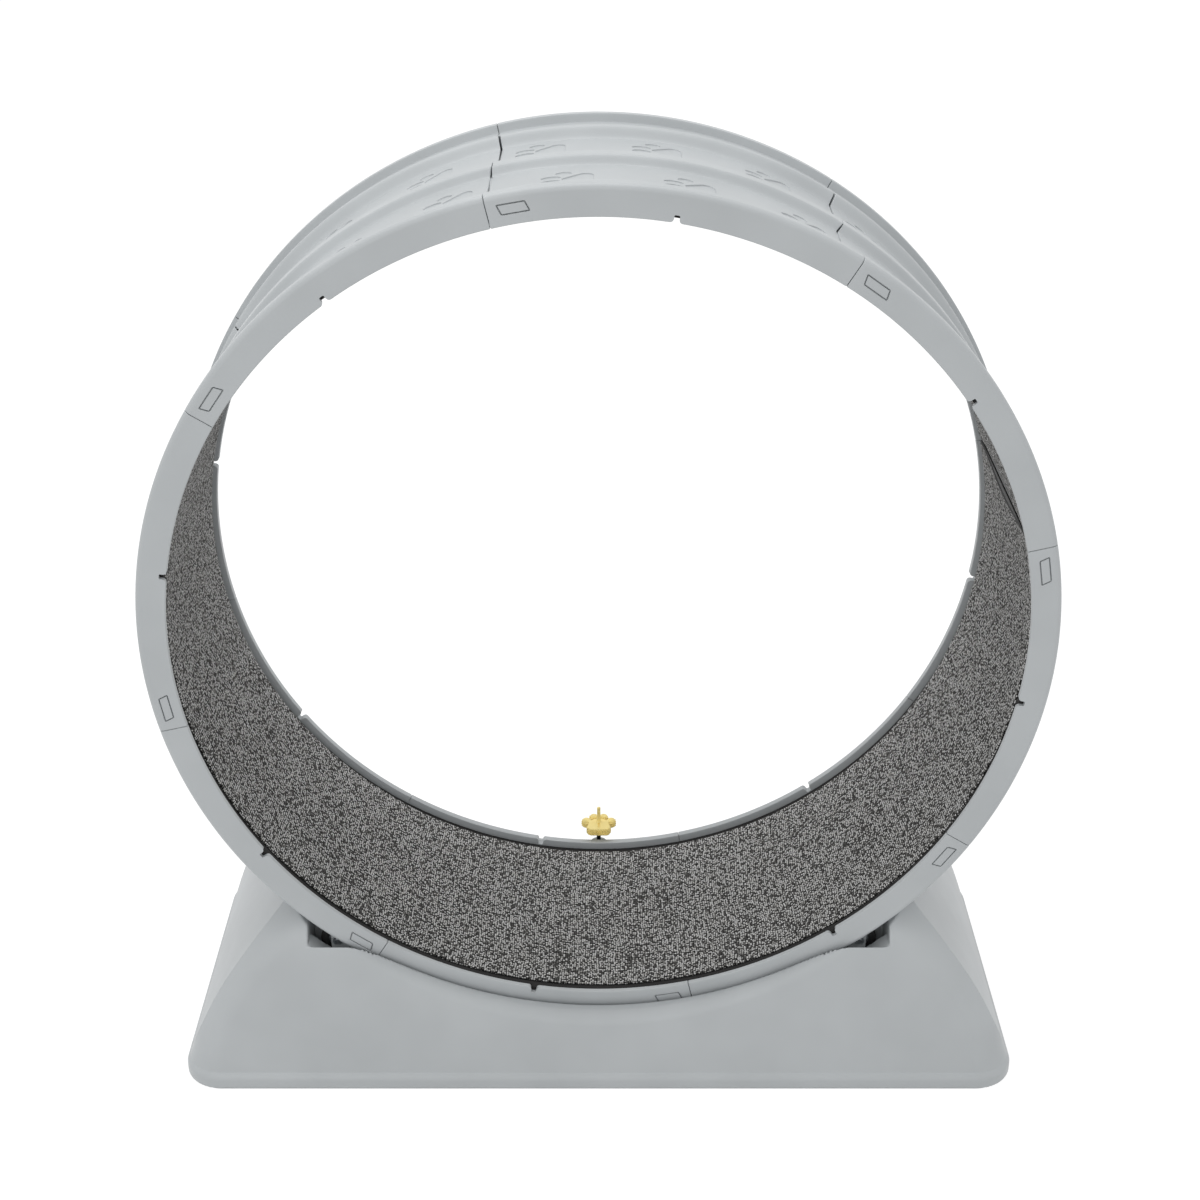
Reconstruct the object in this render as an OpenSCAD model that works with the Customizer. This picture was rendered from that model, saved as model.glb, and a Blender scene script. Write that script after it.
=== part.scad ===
// Cat exercise wheel: a ring of eight snap-together rim segments with a foam and carpet track,
// carried on four small rollers in a low moulded base, with a paw-shaped brake knob.
// The wheel turns about Y. The floor is z = 0 and the front is towards -Y.

/* [Wheel] */
// Outer diameter of the wheel over its two rims
wheel_d = 900; // [860:5:960]
// Width of the wheel between its two flat faces
wheel_w = 296; // [280:2:310]
// Height of the wheel's lowest point above the floor
wheel_lift = 68; // [64:1:80]
// Radial height of the flat face on each side of the wheel
face_h = 29.8; // [26:0.2:34]
// Gap between two neighbouring segments along the rim
segment_gap = 0.5; // [0.3:0.1:1]

/* [Rim profile] */
// Axial thickness of the lip that holds the mat in
lip_t = 5; // [4:0.5:7]
// How far the lip's inner edge stands in from the track floor
lip_h = 10.4; // [8:0.2:13]
// Wall between the track floor and the bottom of the two outer troughs
trough_wall = 3.7; // [3:0.1:5]
// Width of the top of each outer rim
rim_top_w = 12.5; // [10:0.5:16]
// Width of the sloping bank inside each outer rim
rim_bank_w = 8; // [6:0.5:10]
// Depth of the roller groove below the rim
groove_drop = 8; // [6:0.5:10]
// Width of the flat floor of the roller groove
groove_w = 15; // [14:0.5:18]
// Height of the shoulder ridge above the roller groove
shoulder_h = 3.5; // [2.5:0.5:5]
// Width of the top of the shoulder ridge
shoulder_top_w = 3; // [2:0.5:5]
// Width of the bank from the shoulder ridge down to the groove
shoulder_out_w = 6; // [4:0.5:8]
// Width of the bank from the shoulder ridge down to the trough
shoulder_in_w = 13; // [10:0.5:18]
// Depth of the middle ridge below the rim
ridge_drop = 7; // [5:0.5:9]
// Half width of the flat top of the middle ridge
ridge_half_w = 7; // [4:0.5:12]
// Width of the bank on each side of the middle ridge
ridge_bank_w = 28; // [20:1:36]
// Radius of the outer corner of each rim
rim_corner_r = 4.5; // [2:0.5:6]
// Wall left over the hollows on the track side of the ridges
hollow_wall = 3.4; // [3:0.1:4.5]
// Width of the notch in the middle of each segment's lip
notch_w = 5.5; // [4:0.5:8]
// Depth of the notch from the lip's edge
notch_h = 8.3; // [6:0.1:9.5]
// Radius of the rounded mouth of the notch
notch_mouth_r = 4; // [2:0.5:5]

/* [Latches] */
// Length of the window that the latch tab shows in
window_l = 23; // [18:1:28]
// Height of the window
window_h = 9.5; // [8:0.1:10]
// Distance from the joint to the near end of the window
window_inset = 10.5; // [8:0.5:14]
// Distance of the window's middle in from the top of the rim
window_drop = 13.5; // [13:0.1:14]
// Lean of the window's ends in degrees
window_slant = 18; // [0:1:30]
// Thickness of the latch tongue
tongue_t = 2.1; // [1.8:0.1:2.2]
// Skin of the flange in front of the tongue
tongue_skin = 1.2; // [1:0.1:1.4]
// Extra length of the tongue past the window
tongue_tip = 3; // [2:0.5:5]
// Clearance round the tongue and its tab
latch_gap = 0.25; // [0.2:0.05:0.35]

/* [Mat] */
// Thickness of the foam underlay
foam_t = 4; // [3:0.1:4.5]
// Thickness of the carpet runner
carpet_t = 3; // [2:0.1:4]
// Width of the carpet runner
carpet_w = 260; // [230:1:270]
// Sideways offset of the carpet towards the front
carpet_shift = 3; // [0:0.5:5]
// Gap between the two ends of the carpet
carpet_seam = 1.6; // [1:0.1:4]
// Gap between the layers of the mat and the rim
mat_gap = 0.2; // [0.1:0.05:0.3]

/* [Base] */
// Width of the base over its foot lip
base_w = 892; // [880:2:920]
// Depth of the base over its foot lip
base_d = 380; // [376:1:400]
// Corner radius of the foot lip
base_corner_r = 30; // [20:1:40]
// Height of the foot lip
foot_lip_h = 17; // [12:1:22]
// Step from the foot lip in to the body
foot_lip_step = 3; // [2:0.5:4]
// Height of the two end towers above the shell's underside
tower_h = 196; // [190:1:200]
// Bulge radius of the sloping ends
end_bulge_r = 400; // [360:10:600]
// Inward lean of the front and rear faces in degrees
face_lean = 11; // [9:0.5:12]
// Radius of the soft top of the front and rear faces
shoulder_r = 115; // [100:5:120]
// Height above the shell's underside where the faces start to round over
face_round_h = 123; // [110:1:130]
// Clearance between the wheel and the channel that it runs in
channel_gap = 7; // [5:0.5:9]
// Clearance between the wheel's faces and the channel's walls
side_gap = 4; // [3:0.5:5]
// How far the walls' hollowed tops overlap the wheel's faces
wall_overlap = 15.7; // [12:0.1:18]
// Height of the walls' flat shoulders above the shell's underside
hump_h = 159; // [156:1:162]
// Thickness of the shell
shell_t = 4; // [3:0.5:5]
// Thickness of the stiffening ribs
rib_t = 3; // [2:0.5:4]

/* [Base underside] */
// Thickness of the bottom cover
cover_t = 4; // [3.5:0.5:6]
// Clearance round the bottom cover
cover_gap = 0.4; // [0.2:0.1:1]
// Diameter of each screw boss
boss_d = 14; // [12:1:16]
// Diameter of the rubber feet
foot_d = 40; // [30:1:50]
// Height of the rubber feet
foot_h = 2; // [1.5:0.5:4]
// Diameter of the screws' shanks
screw_d = 4; // [3:0.5:4]
// Diameter of the screws' heads
screw_head_d = 8; // [7:0.5:9]
// Height of the screws' heads
screw_head_h = 2; // [1.5:0.1:2]
// Length of the screws' shanks
screw_l = 14; // [12:1:16]

/* [Rollers] */
// Diameter of each roller over its tyre
roller_d = 36; // [34:0.5:38]
// Width of each roller
roller_w = 13; // [12.5:0.5:13.5]
// Angle of each roller from straight down, in degrees
roller_angle = 37.1; // [36:0.1:38]
// Gap between a roller and the groove that runs on it
roller_gap = 0.3; // [0.2:0.05:0.5]
// Thickness of the rubber tyre
tyre_t = 4; // [3:0.5:5]
// Outer diameter of each bearing
bearing_d = 19; // [18:0.5:20]
// Width of each bearing
bearing_w = 6; // [5:0.25:6]
// Diameter of the roller axle
axle_d = 6; // [5:0.5:6]
// Radial running clearance on the axle
axle_fit = 0.04; // [0.02:0.01:0.1]
// Gap between a roller's side and its bracket
cheek_gap = 0.8; // [0.5:0.1:1]
// Thickness of the bracket's cheeks and foot
bracket_t = 3.5; // [3:0.5:4]
// Width of the bracket's cheeks
cheek_w = 18; // [16:0.5:20]
// Distance from the axle to the cheek's outer edge
cheek_edge = 6.5; // [6:0.5:8]
// Clearance between the bracket and the wheel
bracket_clear = 4; // [3:0.5:5]
// Clearance under the roller
roller_under = 15; // [13:1:18]

/* [Brake] */
// Distance of the brake's stem behind the channel's rear wall face
stem_inset = 11; // [10.5:0.1:11.5]
// Diameter of the stem
stem_d = 5; // [4.5:0.1:5.5]
// Radial running clearance of the stem
stem_fit = 0.05; // [0.02:0.01:0.1]
// Outer diameter of the bushing's body
bushing_d = 10; // [9:0.5:11]
// Diameter of the bushing's collar
bushing_collar_d = 19; // [17:0.5:19]
// Thickness of the bushing's collar
bushing_collar_t = 2; // [1.5:0.1:2.5]
// Depth of the flat seat under the bushing's collar
seat_depth = 0.5; // [0.4:0.1:0.8]
// Wall over the cam's pocket
pocket_roof_t = 4.4; // [4:0.1:5]
// Thickness of the cam
cam_t = 5.5; // [5:0.1:5.8]
// Radius of the cam's hub
cam_hub_r = 6; // [5:0.5:6.5]
// Width of the cam's lobe
lobe_w = 8; // [6:0.5:9]
// Gap between the lobe and the wheel's face with the brake on
brake_gap = 0.3; // [0.2:0.05:0.5]
// Clearance round the cam in its pocket
pocket_gap = 0.5; // [0.4:0.1:0.8]
// Height of the paw's underside over the wheel's lip
paw_lift = 5.6; // [5:0.1:8]
// Thickness of the paw
paw_t = 10; // [8:0.5:12]
// Width of the paw
paw_w = 41; // [38:0.5:44]
// Depth of the stem's socket in the paw
socket_h = 7; // [5:0.5:7.5]
// Diameter of the finger post
post_d = 3.4; // [3:0.2:6]
// Height of the finger post
post_h = 20; // [10:1:24]

/* [Hidden] */
segment_count = 8;
// Angle of the first joint from +X, in degrees
joint_phase = 13.1;
CORNERS = ["front_left", "front_right", "rear_left", "rear_right"];
$fn = 96;

// Facets of the large arcs, of the soft shoulders and of a screw's socket
large_fn = 360;
shoulder_fn = 180;
socket_fn = 6;
// One overrun for every cut that has to break through a face
over = 2;
rad = 180 / PI;
// Room round the bracket in its pocket, and the step from the pocket to the flat shoulder
bracket_room = 1;
// Overlap of two outlines that meet in one smooth line
blend_in = 0.1;

// Colours of the materials
shell_grey = "#b7bcbe";
roller_black = "#1c1c1c";
foam_black = "#222222";
carpet_grey = "#6f6f6d";
steel_grey = "#9a9da0";
paw_yellow = "#e2c35a";

// Radii and places on the wheel
wheel_r = wheel_d / 2;
half_w = wheel_w / 2;
axle_z = wheel_r + wheel_lift;
lip_r = wheel_r - face_h;
floor_r = lip_r + lip_h;
trough_r = floor_r + trough_wall;
groove_r = wheel_r - groove_drop;
shoulder_top_r = groove_r + shoulder_h;
ridge_r = wheel_r - ridge_drop;
rim_in = half_w - rim_top_w;
groove_out = rim_in - rim_bank_w;
groove_in = groove_out - groove_w;
groove_mid = (groove_out + groove_in) / 2;
shoulder_out = groove_in - shoulder_out_w;
shoulder_in = shoulder_out - shoulder_top_w;
trough_out = shoulder_in - shoulder_in_w;
trough_in = ridge_half_w + ridge_bank_w;
ridge_hollow_w = ridge_half_w + ridge_bank_w / 3;
pitch_angle = 360 / segment_count;
gap_angle = segment_gap / wheel_r * rad;

// Shares of a bank's run and rise at which its outline has a point
bank_shares = [[0, 0], [0.2, 0.07], [0.4, 0.32], [0.6, 0.68], [0.8, 0.93], [1, 1]];
corner_steps = 4;

// Points of a soft bank from one place and radius to another
function bank(y0, r0, y1, r1) = [for (s = bank_shares) [r0 + (r1 - r0) * s[1], y0 + (y1 - y0) * s[0]]];

// Half of the outer outline, as radius and distance from the wheel's middle
half_outline = concat(
    bank(ridge_half_w, ridge_r, trough_in, trough_r),
    bank(trough_out, trough_r, shoulder_in, shoulder_top_r),
    bank(shoulder_out, shoulder_top_r, groove_in, groove_r),
    bank(groove_out, groove_r, rim_in, wheel_r),
    [for (i = [0:corner_steps])
        [wheel_r - rim_corner_r * (1 - cos(90 * i / corner_steps)),
         half_w - rim_corner_r * (1 - sin(90 * i / corner_steps))]],
    [[lip_r, half_w]]
);

// Latch sizes
window_r = wheel_r - window_drop;
window_mid = window_inset + window_l / 2;
window_angle = window_mid / window_r * rad;
tongue_angle = (window_inset + window_l + tongue_tip) / window_r * rad;
tongue_root_angle = window_inset / 2 / window_r * rad;
slot_h = window_h + 2 * latch_gap;
slot_t = tongue_t + 2 * latch_gap;
slot_z = half_w - tongue_skin - slot_t;
// The tab grows out of the middle of the tongue
tab_z = slot_z + slot_t / 2;
slot_angle = tongue_angle + 2 * latch_gap / window_r * rad;

// Mat sizes
foam_out_r = floor_r - mat_gap;
foam_in_r = foam_out_r - foam_t;
carpet_out_r = foam_in_r - mat_gap;
carpet_in_r = carpet_out_r - carpet_t;
foam_half_w = half_w - lip_t - mat_gap;

// Base sizes, with heights from the floor
shell_z = foot_h;
lip_top_z = shell_z + foot_lip_h;
body_half_w = base_w / 2 - foot_lip_step;
body_half_d = base_d / 2 - foot_lip_step;
body_corner_r = base_corner_r - foot_lip_step;
// The body's plan is a little larger than its foot, so that its faces end inside the foot lip
plan_step = foot_lip_step / 3;
plan_x = body_half_w + plan_step;
plan_y = body_half_d + plan_step;
plan_r = body_corner_r + plan_step;
channel_r = wheel_r + channel_gap;
channel_half_w = half_w + side_gap;
valley_r = wheel_r - wall_overlap;
hump_z = shell_z + hump_h;
peak_z = shell_z + tower_h;
peak_x = sqrt(pow(channel_r, 2) - pow(axle_z - peak_z, 2));
round_z = shell_z + face_round_h;
round_y = body_half_d - (round_z - lip_top_z) * tan(face_lean);
bulge_dx = body_half_w - peak_x;
bulge_dz = peak_z - lip_top_z;
bulge_chord = sqrt(pow(bulge_dx, 2) + pow(bulge_dz, 2));
bulge_rise = sqrt(pow(end_bulge_r, 2) - pow(bulge_chord / 2, 2));
bulge_x = (body_half_w + peak_x) / 2 - bulge_rise * bulge_dz / bulge_chord;
bulge_z = (lip_top_z + peak_z) / 2 - bulge_rise * bulge_dx / bulge_chord;

// Roller places
roller_r = roller_d / 2;
roller_orbit = groove_r + roller_r + roller_gap;
roller_x = roller_orbit * sin(roller_angle);
roller_z = axle_z - roller_orbit * cos(roller_angle);
roller_y = groove_mid;
axle_r = axle_d / 2;
cheek_in = roller_w / 2 + cheek_gap;
cheek_out = cheek_in + bracket_t;
clip_t = 0.8;
clip_groove_d = 0.5;
clip_r = 5.2;
clip_space = 0.1;
// An axle's end stands this many clip thicknesses past its groove's near side
clip_run = 3;
clip_mouth = 4 * clip_groove_d;
axle_half_l = cheek_out + clip_run * clip_t;
bracket_foot_z = roller_z - roller_r - roller_under;
bracket_foot_half_x = 26;
bracket_screw_x = 20;
pocket_x0 = roller_x - bracket_foot_half_x - bracket_room;
pocket_x1 = roller_x + bracket_foot_half_x + 2 * bracket_room;
hump_x = pocket_x1 - bracket_room;
pocket_y0 = roller_y - cheek_out - bracket_t;
rib_shares = [0.2, 0.44];
rib_xs = [for (s = rib_shares) s * body_half_w];
boss_shares = [[0.93, 0.5], [0.8, 0.9], [0.33, 0.9]];
foot_shares = [[0.8, 0.68], [0, 0.68]];
// Shares of a screw's diameter and head that its socket takes
socket_d_share = 0.7;
socket_h_share = 0.6;

// Brake places
stem_r = stem_d / 2;
stem_y = channel_half_w + stem_inset;
seat_z = axle_z - valley_r - seat_depth;
pocket_top_z = seat_z - pocket_roof_t;
pocket_h = cam_t + 2 * pocket_gap;
pocket_z = pocket_top_z - pocket_h;
guide_z = pocket_z - shell_t;
cam_reach = stem_inset + side_gap - brake_gap;
stem_end_z = guide_z - clip_space - clip_run * clip_t;
paw_z = axle_z - lip_r + paw_lift;

// Shares of the paw's width: places and radii of its toes and its pad
toe_r_share = 0.115;
toe_shares = [[-0.385, 0.07], [-0.135, 0.3], [0.135, 0.3], [0.385, 0.07]];
heel_r_share = 0.137;
heel_x_share = 0.2;
heel_y_share = 0.278;
pad_top_r_share = 0.24;
pad_half_w_share = 0.3;
pad_top_y_share = 0.12;

// Sign of a roller's corner along X and along Y
function side_x(corner) = (corner == "front_left" || corner == "rear_left") ? -1 : 1;
function side_y(corner) = (corner == "front_left" || corner == "front_right") ? -1 : 1;

// Wheel pieces are drawn flat, face on, and stood up here: the flat frame's Z is the front
module stand() {
    translate([0, 0, axle_z]) rotate([90, 0, 0]) children();
}

// Cylinder along Y with its middle at a point
module y_rod(r, l) {
    rotate([90, 0, 0]) cylinder(r = r, h = l, center = true);
}

module rounded_plate(half_x, half_y, corner, h) {
    linear_extrude(h) {
        square([2 * (half_x - corner), 2 * half_y], center = true);
        square([2 * half_x, 2 * (half_y - corner)], center = true);
        for (x = [-1, 1], y = [-1, 1])
            translate([x * (half_x - corner), y * (half_y - corner)]) circle(corner);
    }
}

// Section of the rim, as radius and distance across the wheel
module rim_section() {
    reversed = [for (i = [len(half_outline) - 1:-1:0]) [half_outline[i][0], -half_outline[i][1]]];
    difference() {
        polygon(concat(reversed, half_outline));
        translate([lip_r - over, -half_w + lip_t]) square([lip_h + over, 2 * (half_w - lip_t)]);
        translate([lip_r, -ridge_hollow_w])
            square([ridge_r - hollow_wall - lip_r, 2 * ridge_hollow_w]);
        for (s = [-1, 1])
            translate([lip_r, s * groove_mid - groove_w])
                square([groove_r - hollow_wall - lip_r, 2 * groove_w]);
    }
}

module window_shape(gap) {
    hx = window_h / 2 - gap;
    hy = window_l / 2 - gap;
    lean = hx * tan(window_slant);
    polygon([[-hx, -hy - lean], [hx, -hy + lean], [hx, hy + lean], [-hx, hy - lean]]);
}

// Cut of one notch, drawn with its mouth at the lip's edge and rising outwards
module notch_shape() {
    mouth = notch_w / 2 + notch_mouth_r;
    translate([-over, -notch_w / 2]) square([notch_h + over, notch_w]);
    difference() {
        translate([-over, -mouth]) square([notch_mouth_r + over, 2 * mouth]);
        for (s = [-1, 1]) translate([notch_mouth_r, s * mouth]) circle(notch_mouth_r);
    }
}

module latch_tongue() {
    root = tongue_root_angle;
    rotate([0, 0, -tongue_angle]) rotate_extrude(angle = tongue_angle + root)
        translate([window_r - window_h / 2, slot_z + latch_gap]) square([window_h, tongue_t]);
    rotate([0, 0, -window_angle]) translate([window_r, 0, tab_z])
        linear_extrude(half_w - latch_gap - tab_z) window_shape(latch_gap);
}

module latch_cut() {
    rotate([0, 0, -slot_angle]) rotate_extrude(angle = slot_angle + over * gap_angle)
        translate([window_r - slot_h / 2, slot_z]) square([slot_h, slot_t]);
    rotate([0, 0, -window_angle]) translate([window_r, 0, slot_z + latch_gap])
        linear_extrude(half_w - slot_z + over) window_shape(0);
}

module rim_segment(i) {
    start = joint_phase + pitch_angle * (i - 1);
    sweep = pitch_angle - gap_angle;
    color(shell_grey) stand() rotate([0, 0, start + gap_angle / 2]) {
        difference() {
            rotate_extrude(angle = sweep) rim_section();
            for (s = [0, 1]) mirror([0, 0, s]) {
                rotate([0, 0, sweep]) latch_cut();
                rotate([0, 0, sweep / 2]) translate([lip_r, 0, half_w - lip_t - over])
                    linear_extrude(lip_t + 2 * over) notch_shape();
            }
        }
        for (s = [0, 1]) mirror([0, 0, s]) latch_tongue();
    }
}

module foam_underlay() {
    color(foam_black) stand() rotate_extrude()
        translate([foam_in_r, -foam_half_w]) square([foam_t, 2 * foam_half_w]);
}

module carpet_runner() {
    seam_angle = carpet_seam / carpet_in_r * rad;
    color(carpet_grey) stand() rotate([0, 0, joint_phase + seam_angle / 2])
        rotate_extrude(angle = 360 - seam_angle)
            translate([carpet_in_r, carpet_shift - carpet_w / 2]) square([carpet_t, carpet_w]);
}

// Front view of half the body: the sloping end is one arc
module end_half(inset) {
    intersection() {
        translate([bulge_x, bulge_z]) circle(end_bulge_r - inset, $fn = large_fn);
        translate([0, shell_z]) square([base_w, axle_z]);
    }
}

// Side view of half the body: a leaning face that rounds over at its top
module side_half(inset) {
    nx = inset * cos(face_lean);
    nz = inset * sin(face_lean);
    centre_y = round_y - shoulder_r * cos(face_lean);
    centre_z = round_z - shoulder_r * sin(face_lean);
    low_y = body_half_d + (lip_top_z - shell_z) * tan(face_lean) - nx - blend_in;
    high_y = round_y - nx - blend_in;
    polygon([[0, shell_z - nz], [low_y, shell_z - nz], [high_y, round_z - nz], [0, round_z - nz]]);
    intersection() {
        translate([centre_y, centre_z]) circle(shoulder_r - inset, $fn = shoulder_fn);
        translate([0, shell_z]) square([body_half_d, axle_z]);
    }
}

// The body's outer form, or the same form drawn in by a wall
module body_form(inset) {
    intersection() {
        rotate([90, 0, 0]) linear_extrude(base_d, center = true) {
            end_half(inset);
            mirror([1, 0]) end_half(inset);
        }
        rotate([90, 0, 90]) linear_extrude(base_w, center = true) {
            side_half(inset);
            mirror([1, 0]) side_half(inset);
        }
        translate([0, 0, shell_z - over])
            rounded_plate(plan_x - inset, plan_y - inset, plan_r - inset, axle_z);
    }
}

// The space that the wheel runs in, grown by a wall: channel, hollowed wall tops and flat shoulders
module wheel_space(grow) {
    translate([0, 0, axle_z]) y_rod(channel_r + grow, 2 * (channel_half_w + grow), $fn = large_fn);
    translate([0, 0, axle_z]) y_rod(valley_r + grow, 2 * base_d, $fn = large_fn);
    translate([-hump_x - grow, -base_d, hump_z - grow])
        cube([2 * (hump_x + grow), 2 * base_d, axle_z]);
}

module at_corners() {
    for (c = CORNERS) at_corner(c) children();
}

// Places its children at a roller's axle, mirrored into the corner
module at_corner(corner) {
    mirror([side_x(corner) < 0 ? 1 : 0, 0, 0]) mirror([0, side_y(corner) < 0 ? 1 : 0, 0])
        translate([roller_x, roller_y, roller_z]) children();
}

// Pocket for one roller, grown by a wall
module roller_pocket(grow) {
    foot = bracket_foot_z - grow;
    for (x = [-1, 1], y = [-1, 1]) scale([x, y, 1])
        translate([pocket_x0 - grow, pocket_y0 - grow, foot])
            cube([pocket_x1 - pocket_x0 + 2 * grow, channel_half_w - pocket_y0 + 2 * grow, axle_z - foot]);
}

// Places its children at the bottom cover's screws
module at_cover_screws() {
    for (s = boss_shares, x = [-1, 1], y = [-1, 1])
        translate([x * s[0] * body_half_w, y * (s[1] * body_half_d - boss_d), shell_z]) children();
}

// Places its children at one bracket's two screws, on the pocket's floor
module at_bracket_screws() {
    for (s = [-1, 1]) translate([s * bracket_screw_x, 0, bracket_foot_z - roller_z]) children();
}

module shell_cavity() {
    difference() {
        translate([0, 0, -over]) body_form(shell_t);
        wheel_space(shell_t);
        roller_pocket(shell_t);
        at_cover_screws() translate([0, 0, cover_t]) cylinder(d = boss_d, h = axle_z);
        at_corners() at_bracket_screws()
            translate([0, 0, -screw_l]) cylinder(d = boss_d - screw_d, h = screw_l);
        for (x = rib_xs, s = [-1, 1])
            translate([s * x - rib_t / 2, -base_d / 2, shell_z + cover_t]) cube([rib_t, base_d, axle_z]);
        translate([-cam_reach - shell_t, channel_half_w, guide_z])
            cube([2 * (cam_reach + shell_t), base_d, axle_z]);
    }
}

// Room for the cam to turn a quarter, open to the wheel's face
module cam_pocket() {
    lobe_room = lobe_w / 2 + pocket_gap;
    translate([0, stem_y, pocket_z]) {
        cylinder(r = cam_hub_r + pocket_gap, h = pocket_h);
        intersection() {
            cylinder(r = cam_reach + pocket_gap, h = pocket_h);
            translate([-cam_reach - over, -cam_reach - over, 0])
                cube([cam_reach + over + lobe_room, cam_reach + over + lobe_room, pocket_h]);
        }
    }
}

module base_shell() {
    boss_hole_r = screw_d / 2 + axle_fit;
    color(shell_grey) difference() {
        union() {
            body_form(0);
            translate([0, 0, shell_z]) rounded_plate(base_w / 2, base_d / 2, base_corner_r, foot_lip_h);
        }
        shell_cavity();
        translate([0, 0, shell_z - over])
            rounded_plate(plan_x - shell_t, plan_y - shell_t, plan_r - shell_t, cover_t + over);
        wheel_space(0);
        roller_pocket(0);
        at_cover_screws() cylinder(r = boss_hole_r, h = screw_l + screw_head_h);
        at_corners() at_bracket_screws()
            translate([0, 0, -screw_l]) cylinder(r = boss_hole_r, h = screw_l + over);
        translate([0, stem_y, seat_z]) cylinder(d = bushing_collar_d + 2 * stem_fit, h = axle_z);
        translate([0, stem_y, pocket_z]) cylinder(d = bushing_d + 2 * stem_fit, h = axle_z);
        translate([0, stem_y, shell_z]) cylinder(r = stem_r + stem_fit, h = axle_z);
        cam_pocket();
    }
}

module bottom_cover() {
    rim = shell_t + cover_gap;
    color(shell_grey) difference() {
        translate([0, 0, shell_z])
            rounded_plate(plan_x - rim, plan_y - rim, plan_r - rim, cover_t);
        at_cover_screws() {
            translate([0, 0, -over]) cylinder(d = screw_head_d + cover_gap, h = screw_head_h + cover_gap + over);
            cylinder(d = screw_d + cover_gap, h = cover_t + over);
        }
    }
}

// Pan-head screw pointing up from its head's underside
module screw() {
    difference() {
        union() {
            translate([0, 0, -screw_head_h]) cylinder(d = screw_head_d, h = screw_head_h);
            cylinder(d = screw_d, h = screw_l - screw_head_h);
        }
        translate([0, 0, -screw_head_h - over])
            cylinder(d = socket_d_share * screw_d, h = over + socket_h_share * screw_head_h, $fn = socket_fn);
    }
}

module cover_screws() {
    color(steel_grey) at_cover_screws() translate([0, 0, screw_head_h + cover_gap]) screw();
}

module rubber_feet() {
    color(roller_black) for (s = foot_shares, x = s[0] == 0 ? [0] : [-1, 1], y = [-1, 1])
        translate([x * s[0] * body_half_w, y * s[1] * body_half_d]) cylinder(d = foot_d, h = foot_h);
}

module roller_tyre(corner) {
    bead = tyre_t / 4;
    color(roller_black) at_corner(corner) difference() {
        union() {
            y_rod(roller_r, roller_w - 2 * bead);
            y_rod(roller_r - bead, roller_w);
        }
        y_rod(roller_r - tyre_t, roller_w + over);
    }
}

module roller_hub(corner) {
    color(foam_black) at_corner(corner) difference() {
        y_rod(roller_r - tyre_t, roller_w);
        y_rod(bearing_d / 2 - tyre_t / 2, roller_w + over);
        for (s = [-1, 1]) translate([0, s * (roller_w / 2 - bearing_w / 2 + over / 2), 0])
            y_rod(bearing_d / 2, bearing_w + over);
    }
}

module roller_bearings(corner) {
    color(steel_grey) at_corner(corner)
        for (s = [-1, 1]) translate([0, s * (roller_w / 2 - bearing_w / 2), 0]) difference() {
            y_rod(bearing_d / 2, bearing_w);
            y_rod(axle_r + axle_fit, bearing_w + over);
            difference() {
                translate([0, s * bearing_w / 2, 0]) y_rod(bearing_d / 2 - clip_t, clip_t);
                y_rod(axle_r + 2 * clip_t, 2 * bearing_w);
            }
        }
}

module roller_axle(corner) {
    color(steel_grey) at_corner(corner) difference() {
        y_rod(axle_r, 2 * axle_half_l);
        for (s = [-1, 1]) translate([0, s * (cheek_out + clip_space + clip_t / 2), 0]) difference() {
            y_rod(axle_r + over, clip_t + clip_space);
            y_rod(axle_r - clip_groove_d, clip_t + over);
        }
    }
}

module axle_clips() {
    color(steel_grey) at_corners() for (s = [-1, 1])
        translate([0, s * (cheek_out + clip_space + clip_t / 2), 0]) difference() {
            y_rod(clip_r, clip_t);
            y_rod(axle_r - clip_groove_d + axle_fit, clip_t + over);
            translate([0, 0, -clip_r]) cube([axle_d - clip_mouth, clip_t + over, 2 * clip_r], center = true);
        }
}

module roller_bracket(corner) {
    foot_z = bracket_foot_z - roller_z;
    color(shell_grey) difference() {
        at_corner(corner) difference() {
            union() {
                translate([-bracket_foot_half_x, -cheek_out, foot_z])
                    cube([2 * bracket_foot_half_x, 2 * cheek_out, bracket_t]);
                for (s = [-1, 1]) translate([cheek_edge - cheek_w, s * (cheek_in + bracket_t / 2) - bracket_t / 2, foot_z])
                    cube([cheek_w, bracket_t, roller_r - foot_z]);
            }
            y_rod(axle_r + axle_fit, 2 * cheek_out + over);
            at_bracket_screws() translate([0, 0, -over]) cylinder(d = screw_d + cover_gap, h = bracket_t + 2 * over);
        }
        translate([0, 0, axle_z]) y_rod(wheel_r + bracket_clear, base_d, $fn = large_fn);
    }
}

module bracket_screws() {
    color(steel_grey) at_corners() at_bracket_screws()
        translate([0, 0, bracket_t]) mirror([0, 0, 1]) screw();
}

module stem_bushing() {
    body_h = pocket_roof_t + bushing_collar_t / 2;
    color(foam_black) translate([0, stem_y, 0]) difference() {
        union() {
            translate([0, 0, seat_z]) cylinder(d = bushing_collar_d, h = bushing_collar_t);
            translate([0, 0, pocket_top_z]) cylinder(d = bushing_d, h = body_h);
        }
        translate([0, 0, pocket_z]) cylinder(r = stem_r + stem_fit, h = pocket_h + 2 * body_h);
    }
}

module brake_stem() {
    color(steel_grey) translate([0, stem_y, 0]) difference() {
        translate([0, 0, stem_end_z]) cylinder(r = stem_r, h = paw_z + socket_h - stem_end_z);
        translate([0, 0, guide_z - clip_t - 2 * clip_space]) difference() {
            cylinder(r = stem_r + over, h = clip_t + 2 * clip_space);
            cylinder(r = stem_r - clip_groove_d, h = clip_t + over);
        }
    }
}

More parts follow.
